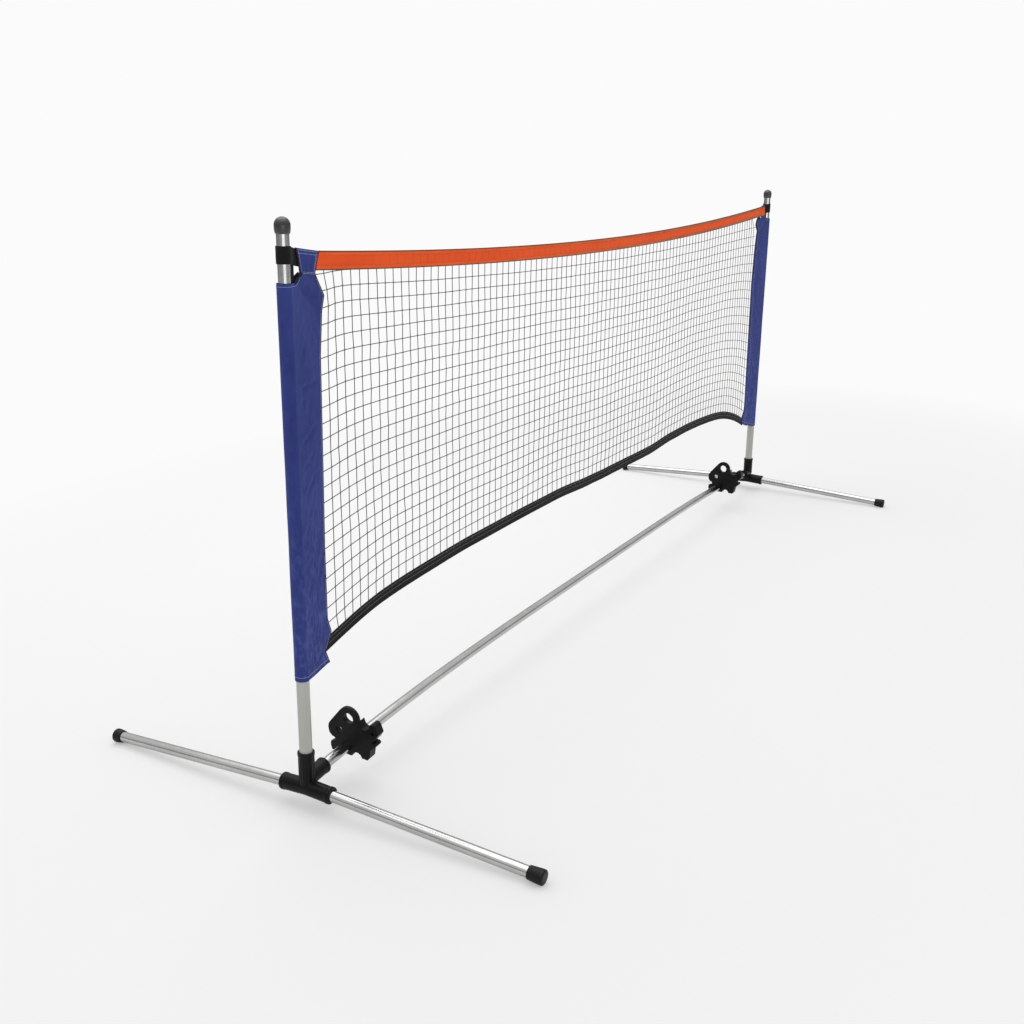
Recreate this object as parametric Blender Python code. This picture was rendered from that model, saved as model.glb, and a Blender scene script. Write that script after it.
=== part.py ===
"""Multisport net: a free-standing net on two telescopic posts, built from separate pieces.

The net runs along X, its two ends stand at X = -1.5 m (near) and X = +1.5 m (far), the feet
run along Y and +Z is up. The origin is on the floor under the middle of the net. All sizes are
in metres. At each end "s" is the distance from the post's axis towards the middle of the net.
"""
import math

import bmesh
import bpy
from mathutils import Matrix, Vector

# Driving sizes
POST_SPACING = 3.0
TUBE_RADIUS = 0.0125
LOWER_POST_RADIUS = 0.014
TUBE_WALL = 0.0012
GAP = 0.0003
TUBE_SIDES = 24
CAP_SIDES = 20

# Base
FOOT_HALF = 0.5825
FOOT_END_HEIGHT = 0.0155
FOOT_RISE = 0.030
SOCKET_RADIUS = 0.0184
STUB_RADIUS = 0.0181
STUB_ROOT = 0.004
POST_SOCKET_ROOT = 0.0164
POST_SOCKET_MOUTH = 0.0178
SOCKET_LIP = 0.0009
SOCKET_LIP_LENGTH = 0.008
SLEEVE_HALF = 0.066
STUB_REACH = 0.060
POST_SOCKET_TOP = 0.1315
SOCKET_FLOOR = 0.012
CAP_RADIUS = 0.0164
CAP_LENGTH = 0.042
CAP_END_WALL = 0.006

# Ground bar, with a slight upward camber between the two base tees
BAR_MIDDLE_HEIGHT = 0.106
BAR_CAMBER = 0.0355
BAR_CAMBER_POWER = 4
BAR_MOUTH_X = POST_SPACING / 2 - STUB_REACH
BAR_JOINT_X = 0.520
BAR_STEPS = 5
BAR_SET_BACK = 0.005
BAR_STRAIGHT_END = 0.004
SPIGOT_LENGTH = 0.055
SHOULDER_STEP = 0.0001

# Posts
LOWER_POST_TOP = 0.660
UPPER_POST_BOTTOM = 0.2315
UPPER_POST_TOP = 1.2365
BALL_TOP = 1.2465
BALL_RADIUS = 0.0158
BALL_HEIGHT = 0.032
BUSH_WALL = 0.0011
BUSH_SKIRT = 0.016
BUSH_LIP = 0.0025
SPINDLE_RADIUS = 0.004
SPINDLE_HEAD_RADIUS = 0.0075
SPINDLE_PLUG = 0.022
COLLET_HEIGHT = 0.022
COLLET_DROP = 0.0045
COLLET_CHAMFER = 0.0015
COLLET_SLIT = 0.0016

# Net band; the far end hangs lower at the bottom than the near end
TOP_EDGE_MIDDLE = 1.1325
TOP_EDGE_RISE = {"near": 0.0225, "far": 0.0240}
TOP_TAPE_HEIGHT = 0.036
BOTTOM_TAPE_MIDDLE = 0.4115
BOTTOM_TAPE_DROP = {"near": 0.054, "far": 0.100}
BOTTOM_TAPE_POWER = 6
BOTTOM_TAPE_REACH = 1.38
BOTTOM_TAPE_HEIGHT = 0.030
TAPE_THICKNESS = 0.0024
TAPE_END = {"near": 0.095, "far": 0.132}
NET_COLUMNS = 27
NET_ROWS = 8
NET_CORD = 0.003
NET_WIDTH = 2.8
NET_HEIGHT = 0.75
NET_THICKNESS = 0.0022
NET_CLEARANCE = 0.0022
NET_SIDE = 0.110

# Post sleeve, the cloth sheath at each end of the net
SLEEVE_RADIUS = 0.0168
CLOTH = 0.0011
SEAM_HALF_THICKNESS = 0.0018
SEAM_WIDTH = 0.008
FLANK_START = 0.024
# Inside of the sleeve's flank from the post towards the seam: distance s, half width
SLEEVE_INSIDE = {
    "near": [(0.0238, 0.0079), (0.0360, 0.0045), (0.0410, 0.0026), (0.0435, 0.0008)],
    "far": [(0.0238, 0.0079), (0.0290, 0.0045), (0.0320, 0.0026), (0.0345, 0.0008)],
}
# The sleeve's folds: depth, waves per metre up and across, and how far they take to set in
FOLD_DEPTH = 0.0035
FOLDS_UP = 4.0
FOLDS_ACROSS = 9.0
FOLD_FADE = 0.046
SLEEVE_BOTTOM = {"near": 0.292, "far": 0.277}
SLEEVE_TOP = {"near": 1.123, "far": 1.135}
NECK_LEFT = {"near": (0.046, 1.1385), "far": (0.036, 1.1450)}
NECK_RIGHT = {"near": (0.091, 1.1345), "far": (0.062, 1.1405)}
FLAP_TOP_LEFT = {"near": (0.036, 1.187), "far": (0.036, 1.188)}
FLAP_TOP_RIGHT = {"near": (0.105, 1.177), "far": (0.068, 1.182)}
# The sleeve's inner edge from the bottom tip up to the neck: distance s, height
SLEEVE_EDGE = {
    "near": [
        (0.092, 0.305), (0.085, 0.336), (0.101, 0.374), (0.090, 0.451), (0.089, 0.573), (0.093, 0.706),
        (0.096, 0.839), (0.099, 0.972), (0.108, 1.059), (0.117, 1.090), NECK_RIGHT["near"],
    ],
    "far": [
        (0.1255, 0.305), (0.1375, 0.332), (0.1145, 0.356), (0.109, 0.374), (0.109, 0.424),
        (0.1125, 0.480), (0.121, 0.700), (0.128, 0.880), (0.119, 1.010), (0.1085, 1.075),
        (0.103, 1.089), (0.1275, 1.114), (0.117, 1.133), NECK_RIGHT["far"],
    ],
}
STRAP_BOTTOM = 1.159
STRAP_TOP = 1.1925
STRAP_WEBBING = 0.002
STRAP_JOIN = 0.034
STRAP_TAIL = 0.066

# Storage clip, in the plane square to the bar: u points to -Y, v points up, from the bar's axis
CLIP_PLATE = 0.010
CLIP_BLOCK = 0.024
CLIP_RIM = 0.014
CLIP_PLACES = {"near": -1.359, "far": 1.130}
POLE_NOTCH_RADIUS = 0.0135
RING_CENTRE = (0.011, 0.075)
RING_OUTER = 0.0275
POLE_NOTCH_CENTRE = (0.0540, 0.0690)
LOWER_NOTCH_CENTRE = (0.0270, -0.0220)
SMALL_HOLE_CENTRE = (-0.0165, 0.0400)
SMALL_HOLE_RADIUS = 0.008
RING_RIM_RADIUS = 0.0185
SMALL_RIM_RADIUS = 0.012
RECESS_CENTRE = (0.0765, 0.0525)
RECESS_RADIUS = 0.0045
RECESS_DEPTH = 0.006

FOOT_SLOPE = FOOT_RISE / FOOT_HALF
TEE_HEIGHT = FOOT_END_HEIGHT + FOOT_RISE
ENDS = {"near": -1.0, "far": 1.0}
SIDES = {"front": -1.0, "back": 1.0}
Z_AXIS = Vector((0.0, 0.0, 1.0))


# Scene and materials

def clear_scene():
    for item in list(bpy.data.objects):
        bpy.data.objects.remove(item, do_unlink=True)


def make_material(name, colour, roughness, metallic):
    material = bpy.data.materials.new(name)
    material.use_nodes = True
    shader = material.node_tree.nodes["Principled BSDF"]
    shader.inputs["Base Color"].default_value = (*colour, 1.0)
    shader.inputs["Roughness"].default_value = roughness
    shader.inputs["Metallic"].default_value = metallic
    return material


MATERIAL_LOOKS = {
    "polished_tube": ((0.80, 0.80, 0.79), 0.18, 1.0),
    "satin_tube": ((0.55, 0.55, 0.52), 0.45, 0.8),
    "black_plastic": ((0.016, 0.016, 0.015), 0.55, 0.0),
    "dark_rubber": ((0.030, 0.031, 0.029), 0.60, 0.0),
    "blue_cloth": ((0.045, 0.065, 0.280), 0.75, 0.0),
    "orange_tape": ((0.820, 0.120, 0.012), 0.55, 0.0),
    "black_webbing": ((0.012, 0.012, 0.012), 0.80, 0.0),
    "net_cord": ((0.200, 0.210, 0.190), 0.80, 0.0),
    "white_nylon": ((0.620, 0.620, 0.600), 0.50, 0.0),
}


def finish_object(name, mesh, slot, origin=Vector(), smooth_angle=40.0):
    """Put a mesh into the scene under its piece's name, with its origin at its joint or seat."""
    mesh.shade_smooth()
    mesh.set_sharp_from_angle(angle=math.radians(smooth_angle))
    mesh.materials.clear()
    mesh.materials.append(make_material(f"{name}_finish", *MATERIAL_LOOKS[slot]))
    mesh.transform(Matrix.Translation(-origin))
    item = bpy.data.objects.new(name, mesh)
    item.location = origin
    bpy.context.scene.collection.objects.link(item)


# Mesh building

def mesh_from_faces(name, points, faces):
    mesh = bpy.data.meshes.new(name)
    mesh.from_pydata([tuple(point) for point in points], [], faces)
    shape = bmesh.new()
    shape.from_mesh(mesh)
    bmesh.ops.recalc_face_normals(shape, faces=shape.faces)
    shape.to_mesh(mesh)
    shape.free()
    return mesh


def cross_frame(direction, reference=Z_AXIS):
    """Two unit vectors square to a direction."""
    along = Vector(direction).normalized()
    if abs(along.dot(reference)) > 0.99:
        reference = Vector((1.0, 0.0, 0.0))
    side = along.cross(reference).normalized()
    return side, side.cross(along).normalized()


def circle_points(centre, side, up, radius, sides, turn=0.0):
    points = []
    for step in range(sides):
        angle = 2.0 * math.pi * (step + turn) / sides
        points.append(centre + side * (radius * math.cos(angle)) + up * (radius * math.sin(angle)))
    return points


def path_directions(path):
    directions = []
    last = len(path) - 1
    for index in range(len(path)):
        before = path[max(index - 1, 0)]
        after = path[min(index + 1, last)]
        directions.append((after - before).normalized())
    return directions


def stack_faces(first, rings, sides, flip=False):
    """Quads between rings of equal length that were added one after another."""
    faces = []
    for ring in range(rings - 1):
        for step in range(sides):
            a = first + ring * sides + step
            b = first + ring * sides + (step + 1) % sides
            face = [a, b, b + sides, a + sides]
            faces.append(face[::-1] if flip else face)
    return faces


def tube_mesh(name, path, outer, inner, sides=TUBE_SIDES):
    """A hollow tube along a path, with an outer and an inner radius at each point."""
    directions = path_directions(path)
    points = []
    for radii in (outer, inner):
        for centre, direction, radius in zip(path, directions, radii):
            side, up = cross_frame(direction)
            points += circle_points(centre, side, up, radius, sides)
    rings = len(path)
    inner_first = rings * sides
    faces = stack_faces(0, rings, sides) + stack_faces(inner_first, rings, sides, flip=True)
    for ring in (0, rings - 1):
        for step in range(sides):
            after = (step + 1) % sides
            a = ring * sides + step
            b = ring * sides + after
            faces.append([a, b, inner_first + b, inner_first + a])
    return mesh_from_faces(name, points, faces)


def turned_mesh(name, start, direction, profile, sides=TUBE_SIDES, turn=0.0):
    """A solid turned about an axis: profile is a list of (distance along the axis, radius)."""
    along = Vector(direction).normalized()
    side, up = cross_frame(along)
    points = []
    for distance, radius in profile:
        points += circle_points(start + along * distance, side, up, radius, sides, turn)
    faces = stack_faces(0, len(profile), sides)
    faces.append(list(range(sides)))
    faces.append([len(points) - sides + step for step in range(sides)])
    return mesh_from_faces(name, points, faces)


def cup_mesh(name, start, direction, outside, depth, bore, sides=TUBE_SIDES):
    """A turned cap that is open at its start: a blind bore of the given depth and radius."""
    along = Vector(direction).normalized()
    side, up = cross_frame(along)
    profile = [(depth, bore), (0.0, bore)] + list(outside)
    points = []
    for distance, radius in profile:
        points += circle_points(start + along * distance, side, up, radius, sides)
    faces = stack_faces(0, len(profile), sides)
    faces.append(list(range(sides)))
    faces.append([len(points) - sides + step for step in range(sides)])
    return mesh_from_faces(name, points, faces)


def extruded_mesh(name, outline, depth):
    """A flat outline in the local XY plane, pushed up to a depth."""
    count = len(outline)
    points = [Vector((u, v, 0.0)) for u, v in outline] + [Vector((u, v, depth)) for u, v in outline]
    faces = [list(range(count)), list(range(count, 2 * count))]
    faces += stack_faces(0, 2, count)
    return mesh_from_faces(name, points, faces)


def banded_mesh(name, outer_rows, inner_rows):
    """A skin between an outer and an inner stack of rows, open at the top and the bottom."""
    count = len(outer_rows[0])
    rows = len(outer_rows)
    points = [point for row in outer_rows for point in row]
    points += [point for row in inner_rows for point in row]
    inner_first = rows * count
    faces = stack_faces(0, rows, count) + stack_faces(inner_first, rows, count, flip=True)
    for row in (0, rows - 1):
        for step in range(count):
            a = row * count + step
            b = row * count + (step + 1) % count
            faces.append([a, b, inner_first + b, inner_first + a])
    return mesh_from_faces(name, points, faces)


def combine(base, tool, operation):
    """Join to, or cut from, one mesh by another with a Boolean."""
    base_object = bpy.data.objects.new("combine_base", base)
    tool_object = bpy.data.objects.new("combine_tool", tool)
    for item in (base_object, tool_object):
        bpy.context.scene.collection.objects.link(item)
    modifier = base_object.modifiers.new("combine", "BOOLEAN")
    modifier.operation = operation
    modifier.solver = "EXACT"
    modifier.object = tool_object
    depsgraph = bpy.context.evaluated_depsgraph_get()
    result = bpy.data.meshes.new_from_object(base_object.evaluated_get(depsgraph))
    for item in (base_object, tool_object):
        bpy.data.objects.remove(item, do_unlink=True)
    return result


def combine_all(base, tools, operation):
    for tool in tools:
        base = combine(base, tool, operation)
    return base


# Shared geometry of the frame

def post_x(end):
    return ENDS[end] * POST_SPACING / 2


def post_foot(end):
    """The point on the floor below a post, on the post's axis."""
    return Vector((post_x(end), 0.0, 0.0))


def inward(end):
    return -ENDS[end]


def foot_axis(end, side, distance):
    """A point on a foot tube's axis, at a distance in Y from the middle of the base."""
    height = TEE_HEIGHT - FOOT_SLOPE * distance
    return Vector((post_x(end), SIDES[side] * distance, height))


def bar_height(x):
    return BAR_MIDDLE_HEIGHT - BAR_CAMBER * (abs(x) / BAR_MOUTH_X) ** BAR_CAMBER_POWER


def bar_point(x):
    return Vector((x, 0.0, bar_height(x)))


def end_of(x):
    return "near" if x < 0.0 else "far"


def top_edge(x):
    return TOP_EDGE_MIDDLE + TOP_EDGE_RISE[end_of(x)] * x * x


def bottom_tape_centre(x):
    drop = BOTTOM_TAPE_DROP[end_of(x)]
    return BOTTOM_TAPE_MIDDLE - drop * (abs(x) / BOTTOM_TAPE_REACH) ** BOTTOM_TAPE_POWER


def between(value, low, high):
    return low + (high - low) * value


def sleeve_edge(end, height):
    """The sleeve's inner edge, as a distance from the post's axis, at a height."""
    edge = SLEEVE_EDGE[end]
    if height <= edge[0][1]:
        return edge[0][0]
    for low, high in zip(edge, edge[1:]):
        if height <= high[1]:
            return between((height - low[1]) / (high[1] - low[1]), low[0], high[0])
    return edge[-1][0]


def flap_edge(end, height):
    """The flap's edge where the top tape starts."""
    neck = NECK_RIGHT[end]
    corner = FLAP_TOP_RIGHT[end]
    return between((height - neck[1]) / (corner[1] - neck[1]), neck[0], corner[0])


# Base pieces

def lipped_socket(start, direction, length, root_radius, mouth_radius, turn=0.0):
    """The outside of one socket, with a raised lip round its mouth."""
    profile = [
        (0.0, root_radius),
        (length - SOCKET_LIP_LENGTH - SOCKET_LIP, mouth_radius),
        (length - SOCKET_LIP_LENGTH, mouth_radius + SOCKET_LIP),
        (length - SOCKET_LIP, mouth_radius + SOCKET_LIP),
        (length, mouth_radius),
    ]
    return turned_mesh("socket", start, direction, profile, turn=turn)


def foot_sleeve(end):
    """The outside of the two foot sockets as one bent sleeve, lipped at both mouths."""
    levels = [
        (SLEEVE_HALF, SOCKET_RADIUS),
        (SLEEVE_HALF - SOCKET_LIP, SOCKET_RADIUS + SOCKET_LIP),
        (SLEEVE_HALF - SOCKET_LIP_LENGTH, SOCKET_RADIUS + SOCKET_LIP),
        (SLEEVE_HALF - SOCKET_LIP_LENGTH - SOCKET_LIP, SOCKET_RADIUS),
    ]
    stations = [("front", distance, radius) for distance, radius in levels]
    stations.append(("front", 0.0, SOCKET_RADIUS))
    stations += [("back", distance, radius) for distance, radius in reversed(levels)]
    side = Vector((1.0, 0.0, 0.0))
    points = []
    for foot, distance, radius in stations:
        rise = -SIDES[foot] * FOOT_SLOPE if distance else 0.0
        along = Vector((0.0, 1.0, rise)).normalized()
        up = side.cross(along).normalized()
        points += circle_points(foot_axis(end, foot, distance), side, up, radius, TUBE_SIDES)
    faces = stack_faces(0, len(stations), TUBE_SIDES)
    faces.append(list(range(TUBE_SIDES)))
    faces.append([len(points) - TUBE_SIDES + step for step in range(TUBE_SIDES)])
    return mesh_from_faces("sleeve", points, faces)


def make_base_tee(end):
    """One moulding with four sockets: two for the feet, one for the post, one for the bar."""
    centre = Vector((post_x(end), 0.0, TEE_HEIGHT))
    bar_start = bar_point(post_x(end) + inward(end) * STUB_ROOT)
    bar_mouth = bar_point(inward(end) * -BAR_MOUTH_X)
    bar_along = (bar_mouth - bar_start).normalized()
    post_length = POST_SOCKET_TOP - TEE_HEIGHT
    post_socket = lipped_socket(centre, Z_AXIS, post_length, POST_SOCKET_ROOT, POST_SOCKET_MOUTH, 0.5)
    stub_length = (bar_mouth - bar_start).length
    stub = lipped_socket(bar_start, bar_along, stub_length, STUB_RADIUS, STUB_RADIUS, 0.5)
    body = combine_all(foot_sleeve(end), [post_socket, stub], "UNION")

    past_mouth = 0.01
    bores = []
    for side in SIDES:
        start = foot_axis(end, side, SOCKET_FLOOR)
        along = (foot_axis(end, side, 1.0) - start).normalized()
        length = SLEEVE_HALF - SOCKET_FLOOR + past_mouth
        bores.append(turned_mesh("bore", start, along, straight(length, TUBE_RADIUS + GAP)))
    post_floor = Vector((post_x(end), 0.0, post_bottom() - GAP))
    post_bore = straight(POST_SOCKET_TOP - post_floor.z + past_mouth, LOWER_POST_RADIUS + GAP)
    bores.append(turned_mesh("bore", post_floor, Z_AXIS, post_bore))
    stub_start = stub_axis(end, bar_end_x(end) - inward(end) * GAP)
    stub_bore = straight((bar_mouth - stub_start).length + past_mouth, TUBE_RADIUS + GAP)
    bores.append(turned_mesh("bore", stub_start, bar_along, stub_bore))
    body = combine_all(body, bores, "DIFFERENCE")
    finish_object(f"{end}_base_tee", body, "black_plastic", post_foot(end))


def straight(length, radius):
    return [(0.0, radius), (length, radius)]


def post_bottom():
    """The post stands on the web above the feet's sockets."""
    return TEE_HEIGHT + SOCKET_RADIUS


def bar_end_x(end):
    """Where the bar's tube stops inside its socket, clear of the post's socket."""
    return post_x(end) + inward(end) * (LOWER_POST_RADIUS + BAR_SET_BACK)


def chord_point(first, second, x):
    """The point at x on the straight line through two points."""
    return first.lerp(second, (x - first.x) / (second.x - first.x))


def stub_axis(end, x):
    """A point on the straight axis of the bar's socket, which the bar follows inside it."""
    mouth = bar_point(inward(end) * -BAR_MOUTH_X)
    root = bar_point(post_x(end) + inward(end) * STUB_ROOT)
    return chord_point(mouth, root, x)


def make_foot(end, side):
    start = foot_axis(end, side, SOCKET_FLOOR + GAP)
    finish = foot_axis(end, side, FOOT_HALF - CAP_END_WALL)
    path = [start, finish]
    outer = [TUBE_RADIUS] * 2
    inner = [TUBE_RADIUS - TUBE_WALL] * 2
    mesh = tube_mesh("foot", path, outer, inner)
    finish_object(f"{end}_{side}_foot", mesh, "polished_tube", post_foot(end))


def cut_flat_at_floor(mesh):
    """Slice off what lies below the floor and close the cut with a flat face."""
    shape = bmesh.new()
    shape.from_mesh(mesh)
    everything = shape.verts[:] + shape.edges[:] + shape.faces[:]
    cut = bmesh.ops.bisect_plane(
        shape, geom=everything, plane_co=(0.0, 0.0, 0.0), plane_no=(0.0, 0.0, 1.0), clear_inner=True
    )
    edges = [item for item in cut["geom_cut"] if isinstance(item, bmesh.types.BMEdge)]
    bmesh.ops.edgeloop_fill(shape, edges=edges)
    bmesh.ops.recalc_face_normals(shape, faces=shape.faces)
    shape.to_mesh(mesh)
    shape.free()


def make_foot_cap(end, side):
    """A soft cap over the foot's end, with a flat where it stands on the floor."""
    tip = foot_axis(end, side, FOOT_HALF)
    along = (tip - foot_axis(end, side, 0.0)).normalized()
    start = tip - along * CAP_LENGTH
    outside = [
        (0.0, CAP_RADIUS - 0.0014),
        (0.0025, CAP_RADIUS - 0.0005),
        (0.0060, CAP_RADIUS - 0.0011),
        (CAP_LENGTH * 0.45, CAP_RADIUS),
        (CAP_LENGTH - 0.0035, CAP_RADIUS),
        (CAP_LENGTH - 0.0010, CAP_RADIUS - 0.0016),
        (CAP_LENGTH, CAP_RADIUS - 0.0048),
    ]
    depth = CAP_LENGTH - CAP_END_WALL + GAP
    mesh = cup_mesh("cap", start, along, outside, depth, TUBE_RADIUS + GAP, CAP_SIDES)
    cut_flat_at_floor(mesh)
    finish_object(f"{end}_{side}_foot_cap", mesh, "dark_rubber", post_foot(end))


def bar_section_path(start_x, finish_x, steps):
    return [bar_point(between(step / steps, start_x, finish_x)) for step in range(steps + 1)]


def outer_bar_path(end):
    """From inside the tee's socket to the joint with the middle section."""
    leave_x = inward(end) * -(BAR_MOUTH_X - BAR_STRAIGHT_END)
    joint_x = inward(end) * -BAR_JOINT_X
    path = [stub_axis(end, bar_end_x(end)), stub_axis(end, leave_x)]
    return path + bar_section_path(leave_x, joint_x, BAR_STEPS)[1:]


def clip_seat(end):
    """Where a storage clip's front face meets the bar's axis, and the axis's direction there."""
    x = CLIP_PLACES[end]
    path = sorted(outer_bar_path(end), key=lambda point: point.x)
    for before, after in zip(path, path[1:]):
        if before.x <= x < after.x:
            return chord_point(before, after, x), (after - before).normalized()
    raise ValueError("the clip stands outside its bar tube")


def make_bar():
    """Three cambered tubes: the middle one ends in spigots that plug into the outer two."""
    for end in ENDS:
        path = outer_bar_path(end)
        outer = [TUBE_RADIUS] * len(path)
        inner = [TUBE_RADIUS - TUBE_WALL] * len(path)
        finish_object(f"{end}_bar_tube", tube_mesh("bar", path, outer, inner), "polished_tube")

    spigot = TUBE_RADIUS - TUBE_WALL - GAP
    shoulder_x = BAR_JOINT_X - GAP
    half = {}
    for end in ENDS:
        before, joint = outer_bar_path(end)[-2:]
        shoulder = chord_point(before, joint, inward(end) * -shoulder_x)
        root = chord_point(before, joint, inward(end) * -(shoulder_x + SHOULDER_STEP))
        tip = chord_point(before, joint, inward(end) * -(shoulder_x + SPIGOT_LENGTH))
        half[end] = [(tip, spigot), (root, spigot), (shoulder, TUBE_RADIUS)]
    stations = half["near"] + [(bar_point(0.0), TUBE_RADIUS)] + half["far"][::-1]
    path = [point for point, radius in stations]
    outer = [radius for point, radius in stations]
    inner = [spigot - TUBE_WALL] * len(stations)
    finish_object("middle_bar_tube", tube_mesh("bar", path, outer, inner), "polished_tube")


# Storage clip

def arc(centre, radius, start_degrees, finish_degrees, steps):
    points = []
    for step in range(steps + 1):
        angle = math.radians(between(step / steps, start_degrees, finish_degrees))
        points.append((centre[0] + radius * math.cos(angle), centre[1] + radius * math.sin(angle)))
    return points


def clip_plate_outline():
    """The thin web: a left lobe with a small hole, and a top lobe that rings a pole."""
    outline = [(-0.043, -0.019), (-0.0455, -0.006), (-0.044, 0.003)]
    outline += arc((-0.0365, 0.0115), 0.006, -110, 110, 5)
    outline += [(-0.0465, 0.026), (-0.048, 0.040), (-0.0455, 0.050), (-0.038, 0.0595)]
    outline += arc(RING_CENTRE, RING_OUTER, 140, 5, 10)
    outline += [(0.039, 0.060), (0.040, 0.040), (0.040, -0.004)]
    outline += arc(LOWER_NOTCH_CENTRE, POLE_NOTCH_RADIUS, 30, 172, 6)
    outline += [(0.0125, -0.0205)]
    return outline


def clip_block_outline():
    """The thick part: round the bar, up to the open pole notch and down to the foot."""
    outline = [(-0.0165, -0.0195), (-0.0185, 0.004), (-0.010, 0.0165), (0.012, 0.024), (0.030, 0.046)]
    outline += [(0.0385, 0.0735)]
    outline += arc(POLE_NOTCH_CENTRE, POLE_NOTCH_RADIUS, 184, 352, 9)
    outline += arc((0.0760, 0.0660), 0.0095, 140, 20, 4)
    outline += [(0.0905, 0.052), (0.0820, 0.0385), (0.0700, 0.0320)]
    outline += arc((0.0755, 0.0215), 0.0058, 120, -75, 5)
    outline += [(0.0655, 0.0060), (0.0615, -0.0150), (0.0560, -0.0215), (0.0425, -0.0205)]
    outline += arc(LOWER_NOTCH_CENTRE, POLE_NOTCH_RADIUS, 12, 170, 8)
    outline += [(0.0118, -0.0208)]
    return outline


def clip_hole(centre, radius, depth, sides=20):
    start = Vector((centre[0], centre[1], -0.002))
    return turned_mesh("hole", start, Z_AXIS, straight(depth + 0.002, radius), sides)


def clip_ring(centre, radius, sides=20):
    start = Vector((centre[0], centre[1], 0.0))
    return turned_mesh("ring", start, Z_AXIS, straight(CLIP_RIM, radius), sides)


def clip_body():
    """The moulded clip on its own, with the bar's axis along Z and its front face at zero."""
    plate = extruded_mesh("plate", clip_plate_outline(), CLIP_PLATE)
    block = extruded_mesh("block", clip_block_outline(), CLIP_BLOCK)
    raised = [clip_ring(RING_CENTRE, RING_RIM_RADIUS), clip_ring(SMALL_HOLE_CENTRE, SMALL_RIM_RADIUS, 16)]
    body = combine_all(plate, [block] + raised, "UNION")
    through = CLIP_BLOCK + 0.006
    cuts = [
        clip_hole((0.0, 0.0), TUBE_RADIUS + GAP, through, TUBE_SIDES),
        clip_hole(RING_CENTRE, POLE_NOTCH_RADIUS, through),
        clip_hole(SMALL_HOLE_CENTRE, SMALL_HOLE_RADIUS, through, 16),
        clip_hole(RECESS_CENTRE, RECESS_RADIUS, RECESS_DEPTH, 12),
    ]
    return combine_all(body, cuts, "DIFFERENCE")


def make_storage_clip(end):
    """A moulded clip on the bar that holds the taken-down tubes for carrying."""
    start, along = clip_seat(end)
    right = Vector((0.0, -1.0, 0.0))
    up = right.cross(along)
    turn = Matrix((right, up, along)).transposed()
    body = clip_body()
    body.transform(Matrix.Translation(start) @ turn.to_4x4())
    body.flip_normals()
    finish_object(f"{end}_storage_clip", body, "black_plastic", start)


# Posts

def make_lower_post(end):
    x = post_x(end)
    path = [Vector((x, 0.0, post_bottom())), Vector((x, 0.0, LOWER_POST_TOP))]
    mesh = tube_mesh("post", path, [LOWER_POST_RADIUS] * 2, [LOWER_POST_RADIUS - TUBE_WALL] * 2)
    finish_object(f"{end}_lower_post", mesh, "satin_tube", post_foot(end))


def make_post_bush(end):
    """A nylon guide on the lower post's rim, with a lip over the end of the tube."""
    outside = LOWER_POST_RADIUS + BUSH_WALL
    over_tube = LOWER_POST_RADIUS + GAP
    bore = LOWER_POST_RADIUS - TUBE_WALL
    rim = LOWER_POST_TOP + GAP
    heights = [LOWER_POST_TOP - BUSH_SKIRT, rim, rim + SHOULDER_STEP, LOWER_POST_TOP + BUSH_LIP]
    path = [Vector((post_x(end), 0.0, height)) for height in heights]
    outer = [outside, outside, outside, outside - 2 * GAP]
    inner = [over_tube, over_tube, bore, bore]
    finish_object(f"{end}_post_bush", tube_mesh("bush", path, outer, inner), "white_nylon", post_foot(end))


def make_upper_post(end):
    x = post_x(end)
    path = [Vector((x, 0.0, UPPER_POST_BOTTOM)), Vector((x, 0.0, UPPER_POST_TOP))]
    mesh = tube_mesh("post", path, [TUBE_RADIUS] * 2, [TUBE_RADIUS - TUBE_WALL] * 2)
    finish_object(f"{end}_upper_post", mesh, "polished_tube", post_foot(end))


def make_ball_cap(end):
    """A domed cap that closes the top of the post."""
    base = Vector((post_x(end), 0.0, BALL_TOP - BALL_HEIGHT))
    outside = [(0.0, BALL_RADIUS - 0.0018), (0.0015, BALL_RADIUS - 0.0009), (0.008, BALL_RADIUS - 0.0002)]
    dome_start = BALL_HEIGHT - BALL_RADIUS
    dome_steps = 6
    for step in range(dome_steps):
        angle = math.radians(80.0 * step / (dome_steps - 1))
        outside.append((dome_start + BALL_RADIUS * math.sin(angle), BALL_RADIUS * math.cos(angle)))
    depth = UPPER_POST_TOP - base.z + GAP
    mesh = cup_mesh("ball", base, Z_AXIS, outside, depth, TUBE_RADIUS + GAP, CAP_SIDES)
    finish_object(f"{end}_ball_cap", mesh, "dark_rubber", post_foot(end))


def make_lock_spindle(end):
    """The plug in the upper post's foot, with the spindle that carries the lock's expander."""
    top = Vector((post_x(end), 0.0, UPPER_POST_BOTTOM + SPINDLE_PLUG))
    plug = TUBE_RADIUS - TUBE_WALL - GAP
    flange = TUBE_RADIUS - 0.0005
    shoulder = SPINDLE_PLUG + GAP
    shaft_end = shoulder + COLLET_DROP + COLLET_HEIGHT + 0.0012
    profile = [
        (0.0, plug - 0.001), (0.001, plug), (shoulder, plug), (shoulder + SHOULDER_STEP, flange),
        (shoulder + 0.0032, flange), (shoulder + 0.0037, SPINDLE_RADIUS), (shaft_end, SPINDLE_RADIUS),
        (shaft_end + GAP, SPINDLE_HEAD_RADIUS), (shaft_end + 0.003, SPINDLE_HEAD_RADIUS),
    ]
    mesh = turned_mesh("spindle", top, -Z_AXIS, profile, 20)
    finish_object(f"{end}_lock_spindle", mesh, "black_plastic", post_foot(end))


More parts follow.
